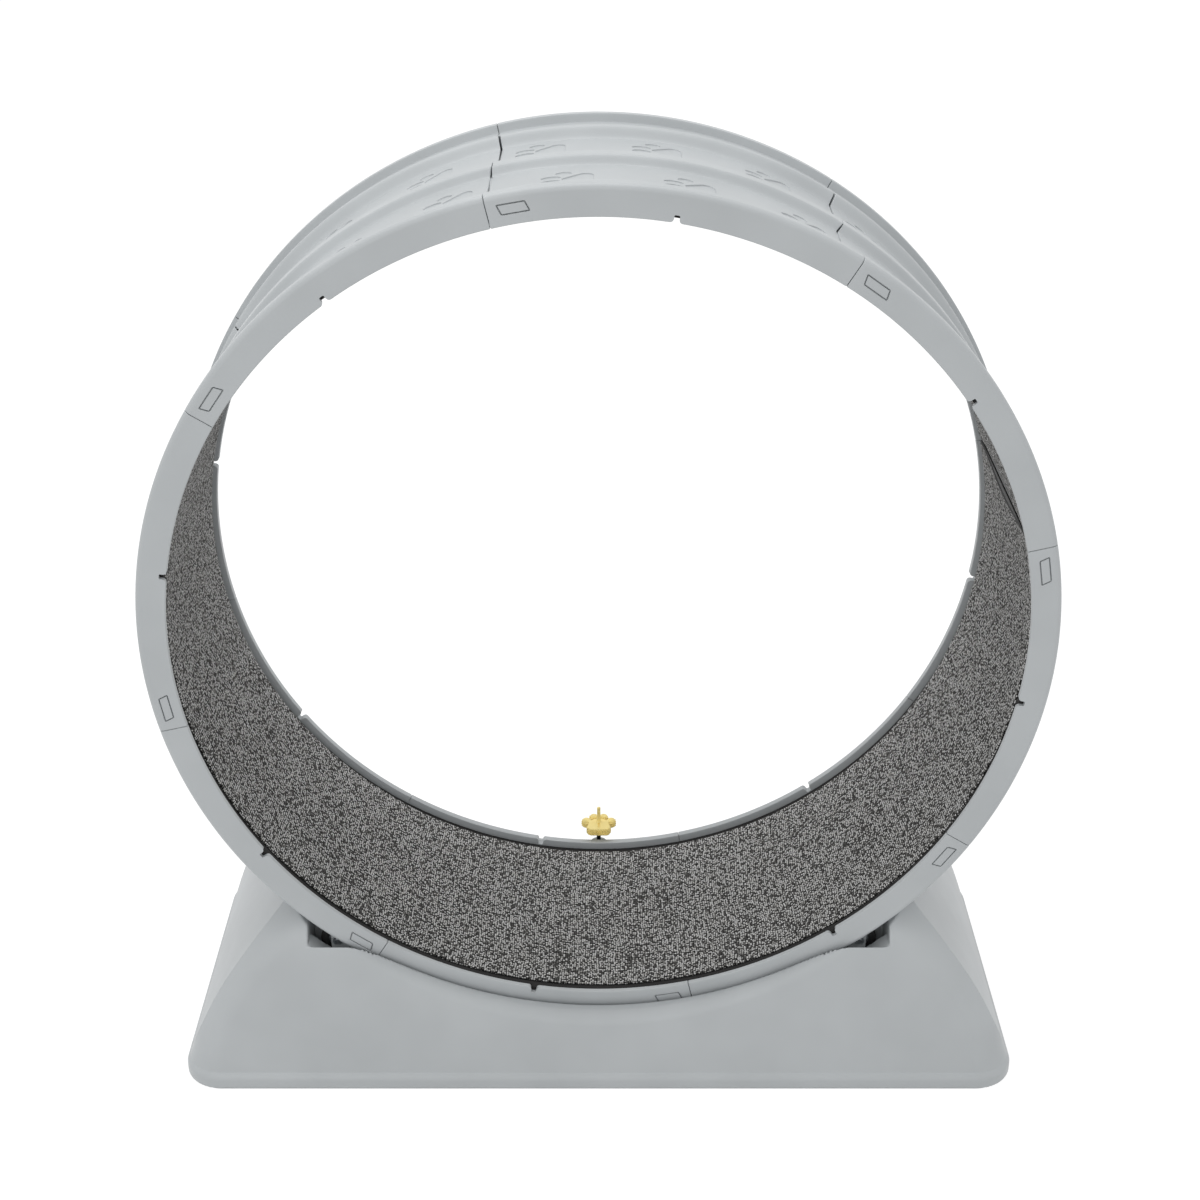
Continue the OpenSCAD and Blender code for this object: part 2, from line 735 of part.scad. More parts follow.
module stem_clip() {
    color(steel_grey) translate([0, stem_y, guide_z - clip_t - clip_space]) difference() {
        cylinder(r = clip_r, h = clip_t);
        translate([0, 0, -over]) cylinder(r = stem_r - clip_groove_d + axle_fit, h = clip_t + 2 * over);
        translate([clip_r, 0, 0]) cube([2 * clip_r, stem_d - clip_mouth, 2 * clip_t + over], center = true);
    }
}

// Cam with its lobe pointing along the wall; a quarter turn brings the lobe to the wheel's face
module brake_cam() {
    tip_r = lobe_w / 2;
    color(roller_black) translate([0, stem_y, pocket_z + pocket_gap]) difference() {
        union() {
            cylinder(r = cam_hub_r, h = cam_t);
            translate([tip_r - cam_reach, -tip_r, 0]) cube([cam_reach - tip_r, lobe_w, cam_t]);
            translate([tip_r - cam_reach, 0, 0]) cylinder(r = tip_r, h = cam_t);
        }
        translate([0, 0, -over]) cylinder(r = stem_r + axle_fit, h = cam_t + 2 * over);
    }
}

// Paw lying flat: the pad is towards the front and the four toes are towards the rear
module paw_knob() {
    heel_x = heel_x_share * paw_w;
    heel_y = heel_y_share * paw_w;
    heel_r = heel_r_share * paw_w;
    pad_x = pad_half_w_share * paw_w;
    pad_y = pad_top_y_share * paw_w;
    color(paw_yellow) translate([0, stem_y, paw_z]) {
        difference() {
            union() {
                for (s = toe_shares)
                    translate([s[0] * paw_w, s[1] * paw_w, 0]) cylinder(r = toe_r_share * paw_w, h = paw_t);
                for (s = [-1, 1]) translate([s * heel_x, -heel_y, 0]) cylinder(r = heel_r, h = paw_t);
                translate([-heel_x, -heel_y - heel_r, 0]) cube([2 * heel_x, 2 * heel_r, paw_t]);
                translate([-pad_x, -heel_y, 0]) cube([2 * pad_x, heel_y + pad_y, paw_t]);
                cylinder(r = pad_top_r_share * paw_w, h = paw_t);
            }
            translate([0, 0, -over]) cylinder(r = stem_r + axle_fit, h = socket_h + over + clip_space);
        }
        translate([0, 0, paw_t]) cylinder(d = post_d, h = post_h);
        translate([0, 0, paw_t]) cylinder(r1 = post_d, r2 = post_d / 2, h = post_d / 2);
    }
}

rim_segment(1);  // rim_segment_1
rim_segment(2);  // rim_segment_2
rim_segment(3);  // rim_segment_3
rim_segment(4);  // rim_segment_4
rim_segment(5);  // rim_segment_5
rim_segment(6);  // rim_segment_6
rim_segment(7);  // rim_segment_7
rim_segment(8);  // rim_segment_8
foam_underlay();
carpet_runner();
base_shell();
bottom_cover();
cover_screws();
rubber_feet();
roller_tyre("front_left");  // roller_tyre_front_left
roller_tyre("front_right");  // roller_tyre_front_right
roller_tyre("rear_left");  // roller_tyre_rear_left
roller_tyre("rear_right");  // roller_tyre_rear_right
roller_hub("front_left");  // roller_hub_front_left
roller_hub("front_right");  // roller_hub_front_right
roller_hub("rear_left");  // roller_hub_rear_left
roller_hub("rear_right");  // roller_hub_rear_right
roller_bearings("front_left");  // roller_bearings_front_left
roller_bearings("front_right");  // roller_bearings_front_right
roller_bearings("rear_left");  // roller_bearings_rear_left
roller_bearings("rear_right");  // roller_bearings_rear_right
roller_axle("front_left");  // roller_axle_front_left
roller_axle("front_right");  // roller_axle_front_right
roller_axle("rear_left");  // roller_axle_rear_left
roller_axle("rear_right");  // roller_axle_rear_right
roller_bracket("front_left");  // roller_bracket_front_left
roller_bracket("front_right");  // roller_bracket_front_right
roller_bracket("rear_left");  // roller_bracket_rear_left
roller_bracket("rear_right");  // roller_bracket_rear_right
axle_clips();
bracket_screws();
stem_bushing();
brake_stem();
stem_clip();
brake_cam();
paw_knob();
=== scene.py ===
"""Looks of a cat exercise wheel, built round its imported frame.

The wheel turns about Y, the floor is z = 0 and the front faces -Y. Sizes here
are in millimetres, and each mesh is turned to metres when it is made.
"""

from __future__ import annotations

import logging
import math
from dataclasses import dataclass, field
from enum import Enum
from typing import Callable, Iterable, Sequence

import bmesh
import bpy
import numpy as np
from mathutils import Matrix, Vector

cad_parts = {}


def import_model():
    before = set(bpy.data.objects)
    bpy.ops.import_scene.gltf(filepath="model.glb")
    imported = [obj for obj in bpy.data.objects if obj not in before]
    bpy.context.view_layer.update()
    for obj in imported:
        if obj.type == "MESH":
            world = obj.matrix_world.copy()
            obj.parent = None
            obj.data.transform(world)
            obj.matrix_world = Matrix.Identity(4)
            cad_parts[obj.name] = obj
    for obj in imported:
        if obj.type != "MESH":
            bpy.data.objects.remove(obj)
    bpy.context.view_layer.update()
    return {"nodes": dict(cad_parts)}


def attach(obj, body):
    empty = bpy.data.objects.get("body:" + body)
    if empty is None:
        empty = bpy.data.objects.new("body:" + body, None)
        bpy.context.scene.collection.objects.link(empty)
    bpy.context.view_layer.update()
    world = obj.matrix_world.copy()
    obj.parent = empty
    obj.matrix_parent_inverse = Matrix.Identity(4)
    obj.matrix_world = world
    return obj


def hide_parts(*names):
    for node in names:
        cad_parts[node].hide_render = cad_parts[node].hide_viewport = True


log = logging.getLogger("cat_wheel")

MM = 0.001

# Points (N, 3) in millimetres to their signed distances from a solid
Field = Callable[[np.ndarray], np.ndarray]
# Places across the wheel and a share of a sweep to shifts along the sweep
Skew = Callable[[np.ndarray, float], np.ndarray]
# Outline at a margin in millimetres
Margined = Callable[[float], np.ndarray]
# Points and faces of a closed mesh
Solid = tuple[np.ndarray, list[list[int]]]
# Height and outline (N, 2) of each ring of a solid
Rings = list[tuple[float, np.ndarray]]
# Points of a flat line
Line = list[tuple[float, float]]
# What goes into the shader's inputs
Sockets = dict[str, bpy.types.NodeSocket]


# Colours and materials


def linear(code: str) -> tuple[float, float, float, float]:
    """Turns an sRGB hex value to a linear colour.

    Args:
        code: Six hex digits after a hash sign.

    Returns:
        Red, green, blue and alpha.
    """
    parts = [int(code[i : i + 2], 16) / 255 for i in (1, 3, 5)]
    low = [c / 12.92 if c <= 0.04045 else ((c + 0.055) / 1.055) ** 2.4 for c in parts]
    return (low[0], low[1], low[2], 1.0)


def add_node(
    tree: bpy.types.NodeTree,
    kind: str,
    inputs: dict | None = None,
    stops: Sequence[tuple[float, str]] = (),
    **settings: object,
) -> bpy.types.Node:
    """Adds a node to a tree.

    Args:
        tree: The node tree.
        kind: The node's type name.
        inputs: Value or output socket for each input, by name or number.
        stops: Place and hex colour of each stop, where the node is a colour ramp.
        **settings: The node's own properties.

    Returns:
        The new node.
    """
    node = tree.nodes.new(kind)
    for name, value in settings.items():
        setattr(node, name, value)
    for key, value in (inputs or {}).items():
        if isinstance(value, bpy.types.NodeSocket):
            tree.links.new(value, node.inputs[key])
        else:
            node.inputs[key].default_value = value
    for _ in stops[2:]:
        node.color_ramp.elements.new(0.5)
    for element, (place, code) in zip(node.color_ramp.elements if stops else (), stops):
        element.position = place
        element.color = linear(code)
    return node


class Surface(Enum):
    """How a material's surface was made."""

    MOULDED = "moulded"
    TURNED = "turned"
    TUFTED = "tufted in loops"
    FOAMED = "foamed"
    VULCANISED = "vulcanised"
    PLATED = "plated"


@dataclass(frozen=True)
class Finish:
    """One material: what it is, its colours and the size of its pattern."""

    name: str
    surface: Surface
    colour: str
    second: str
    roughness: float
    grain_mm: float
    relief_mm: float = 0.05
    row_mm: float = 0.0
    metallic: float = 0.0
    ior: float = 1.5

    def build(self) -> bpy.types.Material:
        """Makes the material with its nodes.

        Returns:
            The material.
        """
        material = bpy.data.materials.new(self.name)
        material.use_nodes = True
        material.diffuse_color = linear(self.colour)
        tree = material.node_tree
        tree.nodes.clear()
        makers = {
            Surface.MOULDED: self._plastic,
            Surface.TURNED: self._plastic,
            Surface.TUFTED: self._tufted,
        }
        looks = makers.get(self.surface, self._grainy)(tree)
        inputs = {"Metallic": self.metallic, "IOR": self.ior, "Roughness": self.roughness, **looks}
        shader = add_node(tree, "ShaderNodeBsdfPrincipled", inputs)
        surface = {"Surface": shader.outputs[0]}
        add_node(tree, "ShaderNodeOutputMaterial", surface, is_active_output=True)
        return material

    def _plastic(self, tree: bpy.types.NodeTree) -> Sockets:
        """Moulded or turned plastic: faint clouds, a slightly uneven sheen and a fine even grain."""
        clouds, sheen, grain = (90.0, 2.0), (30.0, 3.0), (self.grain_mm, 2.0)
        return self._mottled(tree, (clouds, sheen, grain), uneven=0.05, depth=0.35)

    def _grainy(self, tree: bpy.types.NodeTree) -> Sockets:
        """Rubber, foam or plating: fine grains in two tones, of which the lighter ones shine more."""
        return self._mottled(tree, ((self.grain_mm, 4.0),) * 3, uneven=-0.08, depth=0.5)

    def _mottled(
        self, tree: bpy.types.NodeTree, noises: Sequence[tuple[float, float]], uneven: float, depth: float
    ) -> Sockets:
        """A surface whose tone, sheen and relief each follow a noise.

        Args:
            tree: The material's node tree.
            noises: Size in millimetres and detail of the noises of the tone, sheen and relief.
            uneven: How much rougher it gets where the sheen's noise is high.
            depth: Strength of the relief.

        Returns:
            What goes into the shader's inputs.
        """
        where = add_node(tree, "ShaderNodeTexCoord").outputs["Object"]
        patterns = [{"Vector": where, "Scale": 1 / (size * MM), "Detail": detail} for size, detail in noises]
        tone, sheen, grain = (add_node(tree, "ShaderNodeTexNoise", p).outputs["Fac"] for p in patterns)
        stops = [(0.35, self.second), (0.65, self.colour)]
        colour = add_node(tree, "ShaderNodeValToRGB", {"Fac": tone}, stops)
        spread = {"Value": sheen, "To Min": self.roughness - uneven, "To Max": self.roughness + uneven}
        rough = add_node(tree, "ShaderNodeMapRange", spread)
        relief = {"Height": grain, "Strength": depth, "Distance": self.relief_mm * MM}
        bump = add_node(tree, "ShaderNodeBump", relief)
        return {"Base Color": colour.outputs[0], "Roughness": rough.outputs[0], "Normal": bump.outputs[0]}

    def _tufted(self, tree: bpy.types.NodeTree) -> Sockets:
        """Ribbed loop carpet: rows of yarn loops, each loop its own tone of the heather, with painted shade
        darkening the gaps between them.

        The UV map is in metres along the track and across it. The rows run across.

        Args:
            tree: The material's node tree.

        Returns:
            What goes into the shader's inputs.
        """
        wander_mm, wander_size_mm, fibre_mm = 6.0, 40.0, 0.9
        where = add_node(tree, "ShaderNodeTexCoord").outputs["UV"]
        drift = {"Vector": where, "Scale": 1 / (wander_size_mm * MM), "Detail": 2.0}
        wander = add_node(tree, "ShaderNodeTexNoise", drift)
        reach = (wander_mm * MM, wander_mm * MM, 0.0)
        bend = {0: wander.outputs["Color"], 1: reach}
        shift = add_node(tree, "ShaderNodeVectorMath", bend, operation="MULTIPLY")
        bent = {0: where, 1: shift.outputs[0]}
        moved = add_node(tree, "ShaderNodeVectorMath", bent, operation="ADD").outputs[0]
        scale = (1 / (self.row_mm * MM), 1 / (self.grain_mm * MM), 1.0)
        cells = add_node(tree, "ShaderNodeMapping", {"Vector": moved, "Scale": scale}).outputs[0]
        loose = {"Vector": cells, "Scale": 1.0, "Randomness": 0.45}
        loops = add_node(
            tree,
            "ShaderNodeTexVoronoi",
            {**loose, "Smoothness": 0.2},
            voronoi_dimensions="2D",
            feature="SMOOTH_F1",
        ).outputs["Distance"]
        shade = add_node(tree, "ShaderNodeTexVoronoi", loose, voronoi_dimensions="2D").outputs["Color"]
        heather = [(0.28, "#5c5b59"), (0.42, self.second), (0.54, self.colour), (0.68, "#ffffff")]
        colour = add_node(tree, "ShaderNodeValToRGB", {"Fac": shade}, heather).outputs[0]
        strands = {"Vector": moved, "Scale": 1 / (fibre_mm * MM), "Detail": 3.0}
        fibres = add_node(tree, "ShaderNodeTexNoise", strands).outputs["Fac"]
        yarn = add_node(tree, "ShaderNodeValToRGB", {"Fac": fibres}, [(0.3, "#b4b3b1"), (0.65, "#ffffff")])
        # Painted shade: the gaps between the loops are darkened nearly to black
        painted_gap_shade = add_node(tree, "ShaderNodeValToRGB", {"Fac": loops}, [(0.26, "#ffffff"), (0.5, "#040404")])
        # Sockets 6 and 7 of a Mix node are its colours, and output 2 is the mixed one
        for layer in (yarn, painted_gap_shade):
            colour = add_node(
                tree,
                "ShaderNodeMix",
                {"Factor": 1.0, 6: colour, 7: layer.outputs[0]},
                data_type="RGBA",
                blend_type="MULTIPLY",
            ).outputs[2]
        height = add_node(tree, "ShaderNodeMapRange", {"Value": loops, "To Min": 1.0, "To Max": 0.0})
        relief = {"Height": height.outputs[0], "Strength": 1.0, "Distance": self.relief_mm * MM}
        return {"Base Color": colour, "Normal": add_node(tree, "ShaderNodeBump", relief).outputs[0]}


# ABS, moulded in a spark-eroded tool: even pale grey with a soft sheen.
# Its grain of 0.1 mm is drawn 0.8 mm coarse so that it shows
SHELL_ABS = Finish("moulded_abs_pale_grey", Surface.MOULDED, "#b7bbbd", "#b2b6b8", 0.42, 0.8)
# Polyester loop carpet: grey, black and off-white yarns mixed; 2.4 mm loops in rows 2.5 mm apart
CARPET = Finish("loop_carpet_heather_grey", Surface.TUFTED, "#fbfaf7", "#b9b8b5", 0.95, 2.4, 1.2, 2.5)
# EVA foam: dull black; its closed pores of 0.3 mm are drawn 1 mm coarse
FOAM = Finish("eva_foam_black", Surface.FOAMED, "#1b1a19", "#141313", 0.85, 1.0, 0.15)
# Rubber, vulcanised: dull black and slightly dusty; its grain is drawn 1.2 mm coarse
RUBBER = Finish("vulcanised_rubber_black", Surface.VULCANISED, "#262626", "#1c1c1c", 0.62, 1.2, 0.05)
# Nylon, injection moulded: near black with a soft sheen; its grain is drawn coarse too
NYLON = Finish("moulded_nylon_black", Surface.MOULDED, "#2a2b2b", "#252626", 0.45, 0.8)
# Acetal, turned: blue-grey with a soft sheen; its fine marks are drawn as an even grain of 0.8 mm
ACETAL = Finish("turned_acetal_grey", Surface.TURNED, "#98a0a6", "#8d959b", 0.4, 0.8)
# Steel, zinc-plated: grey metal whose sheen is broken by spangles of 2 mm
STEEL = Finish("zinc_plated_steel", Surface.PLATED, "#b9bcbf", "#9b9ea2", 0.33, 2.0, 0.01, metallic=1.0)
# Steel, blackened: a nearly black rod with a dull sheen
BLACK_STEEL = Finish("blackened_steel", Surface.PLATED, "#2d2e2f", "#1e1f20", 0.42, 2.0, 0.01, metallic=1.0)
# ABS, moulded: warm pale yellow; its grain is drawn 0.9 mm coarse
PAW_ABS = Finish("moulded_abs_yellow", Surface.MOULDED, "#ffea98", "#fde389", 0.45, 0.9)


@dataclass
class Palette:
    """Builds each finish once."""

    made: dict[str, bpy.types.Material] = field(default_factory=dict)

    def get(self, finish: Finish) -> bpy.types.Material:
        """Finds the material of a finish, or builds it.

        Args:
            finish: The finish.

        Returns:
            Its material.
        """
        if finish.name not in self.made:
            self.made[finish.name] = finish.build()
        return self.made[finish.name]

    def dress(self, piece: bpy.types.Object, finish: Finish) -> None:
        """Gives a piece one finish all over."""
        piece.data.materials.clear()
        piece.data.materials.append(self.get(finish))


# Meshes


def make_piece(name: str, points: np.ndarray, faces: Iterable[Sequence[int]]) -> bpy.types.Object:
    """Makes a mesh object from points in millimetres.

    Args:
        name: The piece's name.
        points: Vertices, (N, 3), in millimetres.
        faces: Vertex numbers of each face.

    Returns:
        The object, linked to the scene.
    """
    mesh = bpy.data.meshes.new(name)
    mesh.from_pydata((np.asarray(points, float) * MM).tolist(), [], [list(f) for f in faces])
    mesh.update()
    piece = bpy.data.objects.new(name, mesh)
    bpy.context.scene.collection.objects.link(piece)
    return piece


def settle(piece: bpy.types.Object, sharp_deg: float = 35.0) -> None:
    """Turns a closed mesh's faces outwards and shades it smooth up to an angle.

    Args:
        piece: The piece.
        sharp_deg: Edges that turn more than this stay sharp.
    """
    work = bmesh.new()
    work.from_mesh(piece.data)
    bmesh.ops.recalc_face_normals(work, faces=work.faces)
    for face in work.faces:
        face.smooth = True
    for edge in work.edges:
        edge.smooth = len(edge.link_faces) == 2 and edge.calc_face_angle(0.0) < math.radians(sharp_deg)
    work.to_mesh(piece.data)
    work.free()


def bake(piece: bpy.types.Object) -> None:
    """Turns a piece's modifiers into plain mesh and removes them.

    Args:
        piece: The piece.
    """
    graph = bpy.context.evaluated_depsgraph_get()
    graph.update()
    live = piece.evaluated_get(graph)
    mesh = bpy.data.meshes.new_from_object(live, preserve_all_data_layers=True, depsgraph=graph)
    old = piece.data
    piece.modifiers.clear()
    piece.data = mesh
    if old.users == 0:
        bpy.data.meshes.remove(old)
    mesh.name = piece.name


def weigh_normals(piece: bpy.types.Object) -> None:
    """Lets large flat faces rule the shading next to small rounds.

    Args:
        piece: The piece.
    """
    modifier = piece.modifiers.new("weighted", "WEIGHTED_NORMAL")
    modifier.keep_sharp = True
    bake(piece)


def tie(piece: bpy.types.Object, body: str) -> None:
    """Makes a piece move with a body."""
    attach(piece, body)


def inset_loop(loop: np.ndarray, by: float) -> np.ndarray:
    """Moves a closed 2-D loop inwards along its own normals.

    Args:
        loop: Points (N, 2), counter-clockwise.
        by: Distance in millimetres.

    Returns:
        The moved points.
    """
    along = np.roll(loop, -1, 0) - np.roll(loop, 1, 0)
    along /= np.maximum(np.linalg.norm(along, axis=1, keepdims=True), 1e-9)
    return loop + by * np.stack([-along[:, 1], along[:, 0]], 1)


def ease(share: float | np.ndarray) -> float | np.ndarray:
    """A share from 0 to 1 that leaves and arrives level."""
    return share * share * (3 - 2 * share)


def soft_bank(start: tuple[float, float], end: tuple[float, float], steps: int = 8) -> Line:
    """Points of a soft bank that leaves and arrives level.

    Args:
        start: Radius and place across where the bank starts.
        end: Radius and place across where it ends.
        steps: Number of steps.

    Returns:
        Radius and place of each point.
    """
    shares = [i / steps for i in range(steps + 1)]
    return [(start[0] + (end[0] - start[0]) * ease(t), start[1] + (end[1] - start[1]) * t) for t in shares]


def arc(centre: tuple[float, float], radius: float, a0: float, a1: float, steps: int) -> Line:
    """Points of an arc from angle a0 to a1, in degrees."""
    turns = [math.radians(a0 + (a1 - a0) * i / steps) for i in range(steps + 1)]
    return [(centre[0] + radius * math.cos(t), centre[1] + radius * math.sin(t)) for t in turns]


@dataclass
class Sweep:
    """A section carried round the wheel's axle, with its two ends rounded."""

    axle_z: float
    start_deg: float
    end_deg: float
    step_deg: float
    end_round: float
    # Lengths along the sweep are measured at this radius
    mean_r: float

    def stations(self) -> Line:
        """Works out the rings of the sweep.

        Returns:
            Angle and inset of each ring.
        """
        turns = [math.radians(deg) for deg in (0.0, 30.0, 60.0, 90.0)]
        insets = [self.end_round * (1 - math.sin(turn)) for turn in turns]
        degs = [math.degrees(self.end_round * (1 - math.cos(turn)) / self.mean_r) for turn in turns]
        round_end = list(zip(degs, insets))
        count = max(2, round((self.end_deg - self.start_deg) / self.step_deg))
        low, high = self.start_deg + round_end[-1][0], self.end_deg - round_end[-1][0]
        return (
            [(self.start_deg + deg, inset) for deg, inset in round_end]
            + [(low + (high - low) * i / count, 0.0) for i in range(1, count)]
            + [(self.end_deg - deg, inset) for deg, inset in reversed(round_end)]
        )

    def build(
        self,
        name: str,
        loop: np.ndarray,
        wander: Callable[[float], float] | None = None,
        skew: Skew | None = None,
    ) -> bpy.types.Object:
        """Builds the piece, with a UV map in metres along the sweep and across it.

        Args:
            name: The piece's name.
            loop: Closed section, radius and place across, counter-clockwise.
            wander: Shift across the wheel at an angle in degrees.
            skew: Shift along the sweep, in millimetres, of points at some places across
                and at a share of the sweep.

        Returns:
            The piece.
        """
        count = len(loop)
        rings = []
        lengths = np.concatenate([[0.0], np.cumsum(np.linalg.norm(np.roll(loop, -1, 0) - loop, axis=1))])
        stations = self.stations()
        for deg, inset in stations:
            section = inset_loop(loop, inset) if inset > 1e-6 else loop
            shift = wander(deg) if wander else 0.0
            share = (deg - self.start_deg) / (self.end_deg - self.start_deg)
            slip = skew(section[:, 1], share) / self.mean_r if skew else np.zeros(count)
            turn = math.radians(deg) + slip
            radius = section[:, 0]
            ring = [radius * np.cos(turn), section[:, 1] + shift, self.axle_z + radius * np.sin(turn)]
            rings.append(np.stack(ring, 1))
        faces: list[list[int]] = []
        uvs: list[tuple[float, float]] = []
        for i in range(len(stations) - 1):
            u0, u1 = (math.radians(stations[k][0]) * self.mean_r * MM for k in (i, i + 1))
            for j in range(count):
                k = (j + 1) % count
                faces.append([i * count + j, i * count + k, (i + 1) * count + k, (i + 1) * count + j])
                v0, v1 = lengths[j] * MM, lengths[j + 1] * MM
                uvs += [(u0, v0), (u0, v1), (u1, v1), (u1, v0)]
        last = (len(stations) - 1) * count
        for cap in (list(range(count)), list(range(last, last + count))):
            faces.append(cap)
            uvs += [(loop[c % count][0] * MM, loop[c % count][1] * MM) for c in cap]
        piece = make_piece(name, np.concatenate(rings), faces)
        layer = piece.data.uv_layers.new(name="UVMap")
        layer.data.foreach_set("uv", np.array(uvs, np.float32).ravel())
        settle(piece)
        return piece


def prism(rings: Rings) -> Solid:
    """A closed solid through flat outlines at several heights.

    Args:
        rings: Height and outline of each ring, all with the same count of points.

    Returns:
        Points and faces.
    """
    count = len(rings[0][1])
    points = np.concatenate([np.column_stack([o, np.full(count, h)]) for h, o in rings])
    faces = [
        [i * count + j, i * count + (j + 1) % count, (i + 1) * count + (j + 1) % count, (i + 1) * count + j]
        for i in range(len(rings) - 1)
        for j in range(count)
    ]
    last = (len(rings) - 1) * count
    return points, faces + [list(range(count)), list(range(last, last + count))]


def joined(name: str, solids: Sequence[Solid]) -> bpy.types.Object:
    """Makes one piece from several closed solids.

    Args:
        name: The piece's name.
        solids: Points and faces of each solid.

    Returns:
        The piece.
    """
    points, faces, base = [], [], 0
    for some, turns in solids:
        points.append(some)
        faces += [[i + base for i in f] for f in turns]
        base += len(some)
    piece = make_piece(name, np.concatenate(points), faces)
    settle(piece)
    return piece


# Solids with soft edges, described by signed distance


def both(radius: float, a: np.ndarray, b: np.ndarray) -> np.ndarray:
    """Distance to what two solids share, with their common edge rounded."""
    rounded = np.hypot(np.maximum(a + radius, 0), np.maximum(b + radius, 0))
    return np.minimum(np.maximum(a, b), -radius) + rounded


def either(radius: float, a: np.ndarray, b: np.ndarray) -> np.ndarray:
    """Distance to two solids together, with a fillet where they meet."""
    return -both(radius, -a, -b)


def less(radius: float, a: np.ndarray, b: np.ndarray) -> np.ndarray:
    """Distance to the first solid without the second, with the cut's edge rounded."""
    return both(radius, a, -b)


def plate(x: np.ndarray, y: np.ndarray, half_x: float, half_y: float, corner: float) -> np.ndarray:
    """Distance to a rectangle with rounded corners."""
    qx, qy = np.abs(x) - (half_x - corner), np.abs(y) - (half_y - corner)
    return np.hypot(np.maximum(qx, 0), np.maximum(qy, 0)) + np.minimum(np.maximum(qx, qy), 0) - corner


@dataclass
class SoftSolid:
    """Meshes the zero surface of a distance field on a grid, then pulls each point on to it."""

    name: str
    shape: Field
    low: tuple[float, float, float]
    high: tuple[float, float, float]
    # Grid step in millimetres, and the share of the faces that thinning keeps
    step: float
    keep: float = 1.0

    def build(self) -> bpy.types.Object:
        """Builds the piece with normals taken from the field itself.

        Returns:
            The piece.
        """
        points, quads = self._net()
        points = self._settle_points(points)
        piece = make_piece(self.name, points, quads)
        if self.keep < 1.0:
            modifier = piece.modifiers.new("thin", "DECIMATE")
            modifier.ratio = self.keep
            bake(piece)
        mesh = piece.data
        at = np.empty(len(mesh.vertices) * 3)
        mesh.vertices.foreach_get("co", at)
        normals = self._slope(at.reshape(-1, 3) / MM)
        normals /= np.maximum(np.linalg.norm(normals, axis=1, keepdims=True), 1e-9)
        mesh.shade_smooth()
        mesh.normals_split_custom_set_from_vertices(normals.tolist())
        return piece

    def _slope(self, at: np.ndarray) -> np.ndarray:
        """Gradient of the field, by its difference over a small share of the grid's step.

        Args:
            at: Points (N, 3) in millimetres.

        Returns:
            Gradient at each point, (N, 3).
        """
        reach = self.step * 0.08
        out = np.empty_like(at)
        for axis in range(3):
            move = np.zeros(3)
            move[axis] = reach
            out[:, axis] = (self.shape(at + move) - self.shape(at - move)) / (2 * reach)
        return out

    def _settle_points(self, at: np.ndarray) -> np.ndarray:
        """Moves points along the slope until they are on the surface.

        Args:
            at: Points (N, 3) near the surface, in millimetres.

        Returns:
            The moved points.
        """
        rounds, least_slope = 3, 0.2
        for _ in range(rounds):
            slope = self._slope(at)
            off = self.shape(at) / np.maximum((slope**2).sum(1), least_slope)
            at = at - np.clip(off, -self.step, self.step)[:, None] * slope
        return at

    def _net(self) -> tuple[np.ndarray, np.ndarray]:
        """Surface net of the grid: one point in each cell that the surface crosses.

        Returns:
            Points (N, 3) in millimetres and quads (M, 4).
        """
        low = np.array(self.low, float)
        count = np.ceil((np.array(self.high) - low) / self.step).astype(int) + 1
        axes = [low[k] + self.step * np.arange(count[k]) for k in range(3)]
        values = np.empty(count, np.float32)
        plane = np.stack(np.meshgrid(axes[1], axes[2], indexing="ij"), -1).reshape(-1, 2)
        for i, x in enumerate(axes[0]):
            at = np.column_stack([np.full(len(plane), x), plane])
            values[i] = self.shape(at).reshape(count[1], count[2])
        inside = values < 0
        cells, crossings, quads = [], [], []
        size = count - 1
        for axis in range(3):
            first, second = ([slice(None)] * 3 for _ in range(2))
            first[axis], second[axis] = slice(0, -1), slice(1, None)
            changed = inside[tuple(first)] != inside[tuple(second)]
            index = np.argwhere(changed)
            a = values[tuple(first)][changed]
            b = values[tuple(second)][changed]
            place = index.astype(float)
            place[:, axis] += a / (a - b)
            u, v = [k for k in range(3) if k != axis]
            around = []
            for du, dv in ((0, 0), (1, 0), (1, 1), (0, 1)):
                cell = index.copy()
                cell[:, u] -= du
                cell[:, v] -= dv
                around.append(cell)
            good = np.ones(len(index), bool)
            for cell in around:
                good &= ((cell >= 0) & (cell < size)).all(1)
            ids = np.stack([np.ravel_multi_index(c[good].T, size) for c in around], 1)
            for k in range(4):
                cells.append(ids[:, k])
                crossings.append(place[good])
            flip = (a[good] < 0) == (axis != 1)
            quads.append(np.where(flip[:, None], ids, ids[:, ::-1]))
        ids = np.concatenate(cells)
        where = np.concatenate(crossings)
        unique, back = np.unique(ids, return_inverse=True)
        total = np.bincount(back).astype(float)
        points = np.stack([np.bincount(back, where[:, k]) / total for k in range(3)], 1)
        return low + self.step * points, np.searchsorted(unique, np.concatenate(quads))


# Geometry Nodes


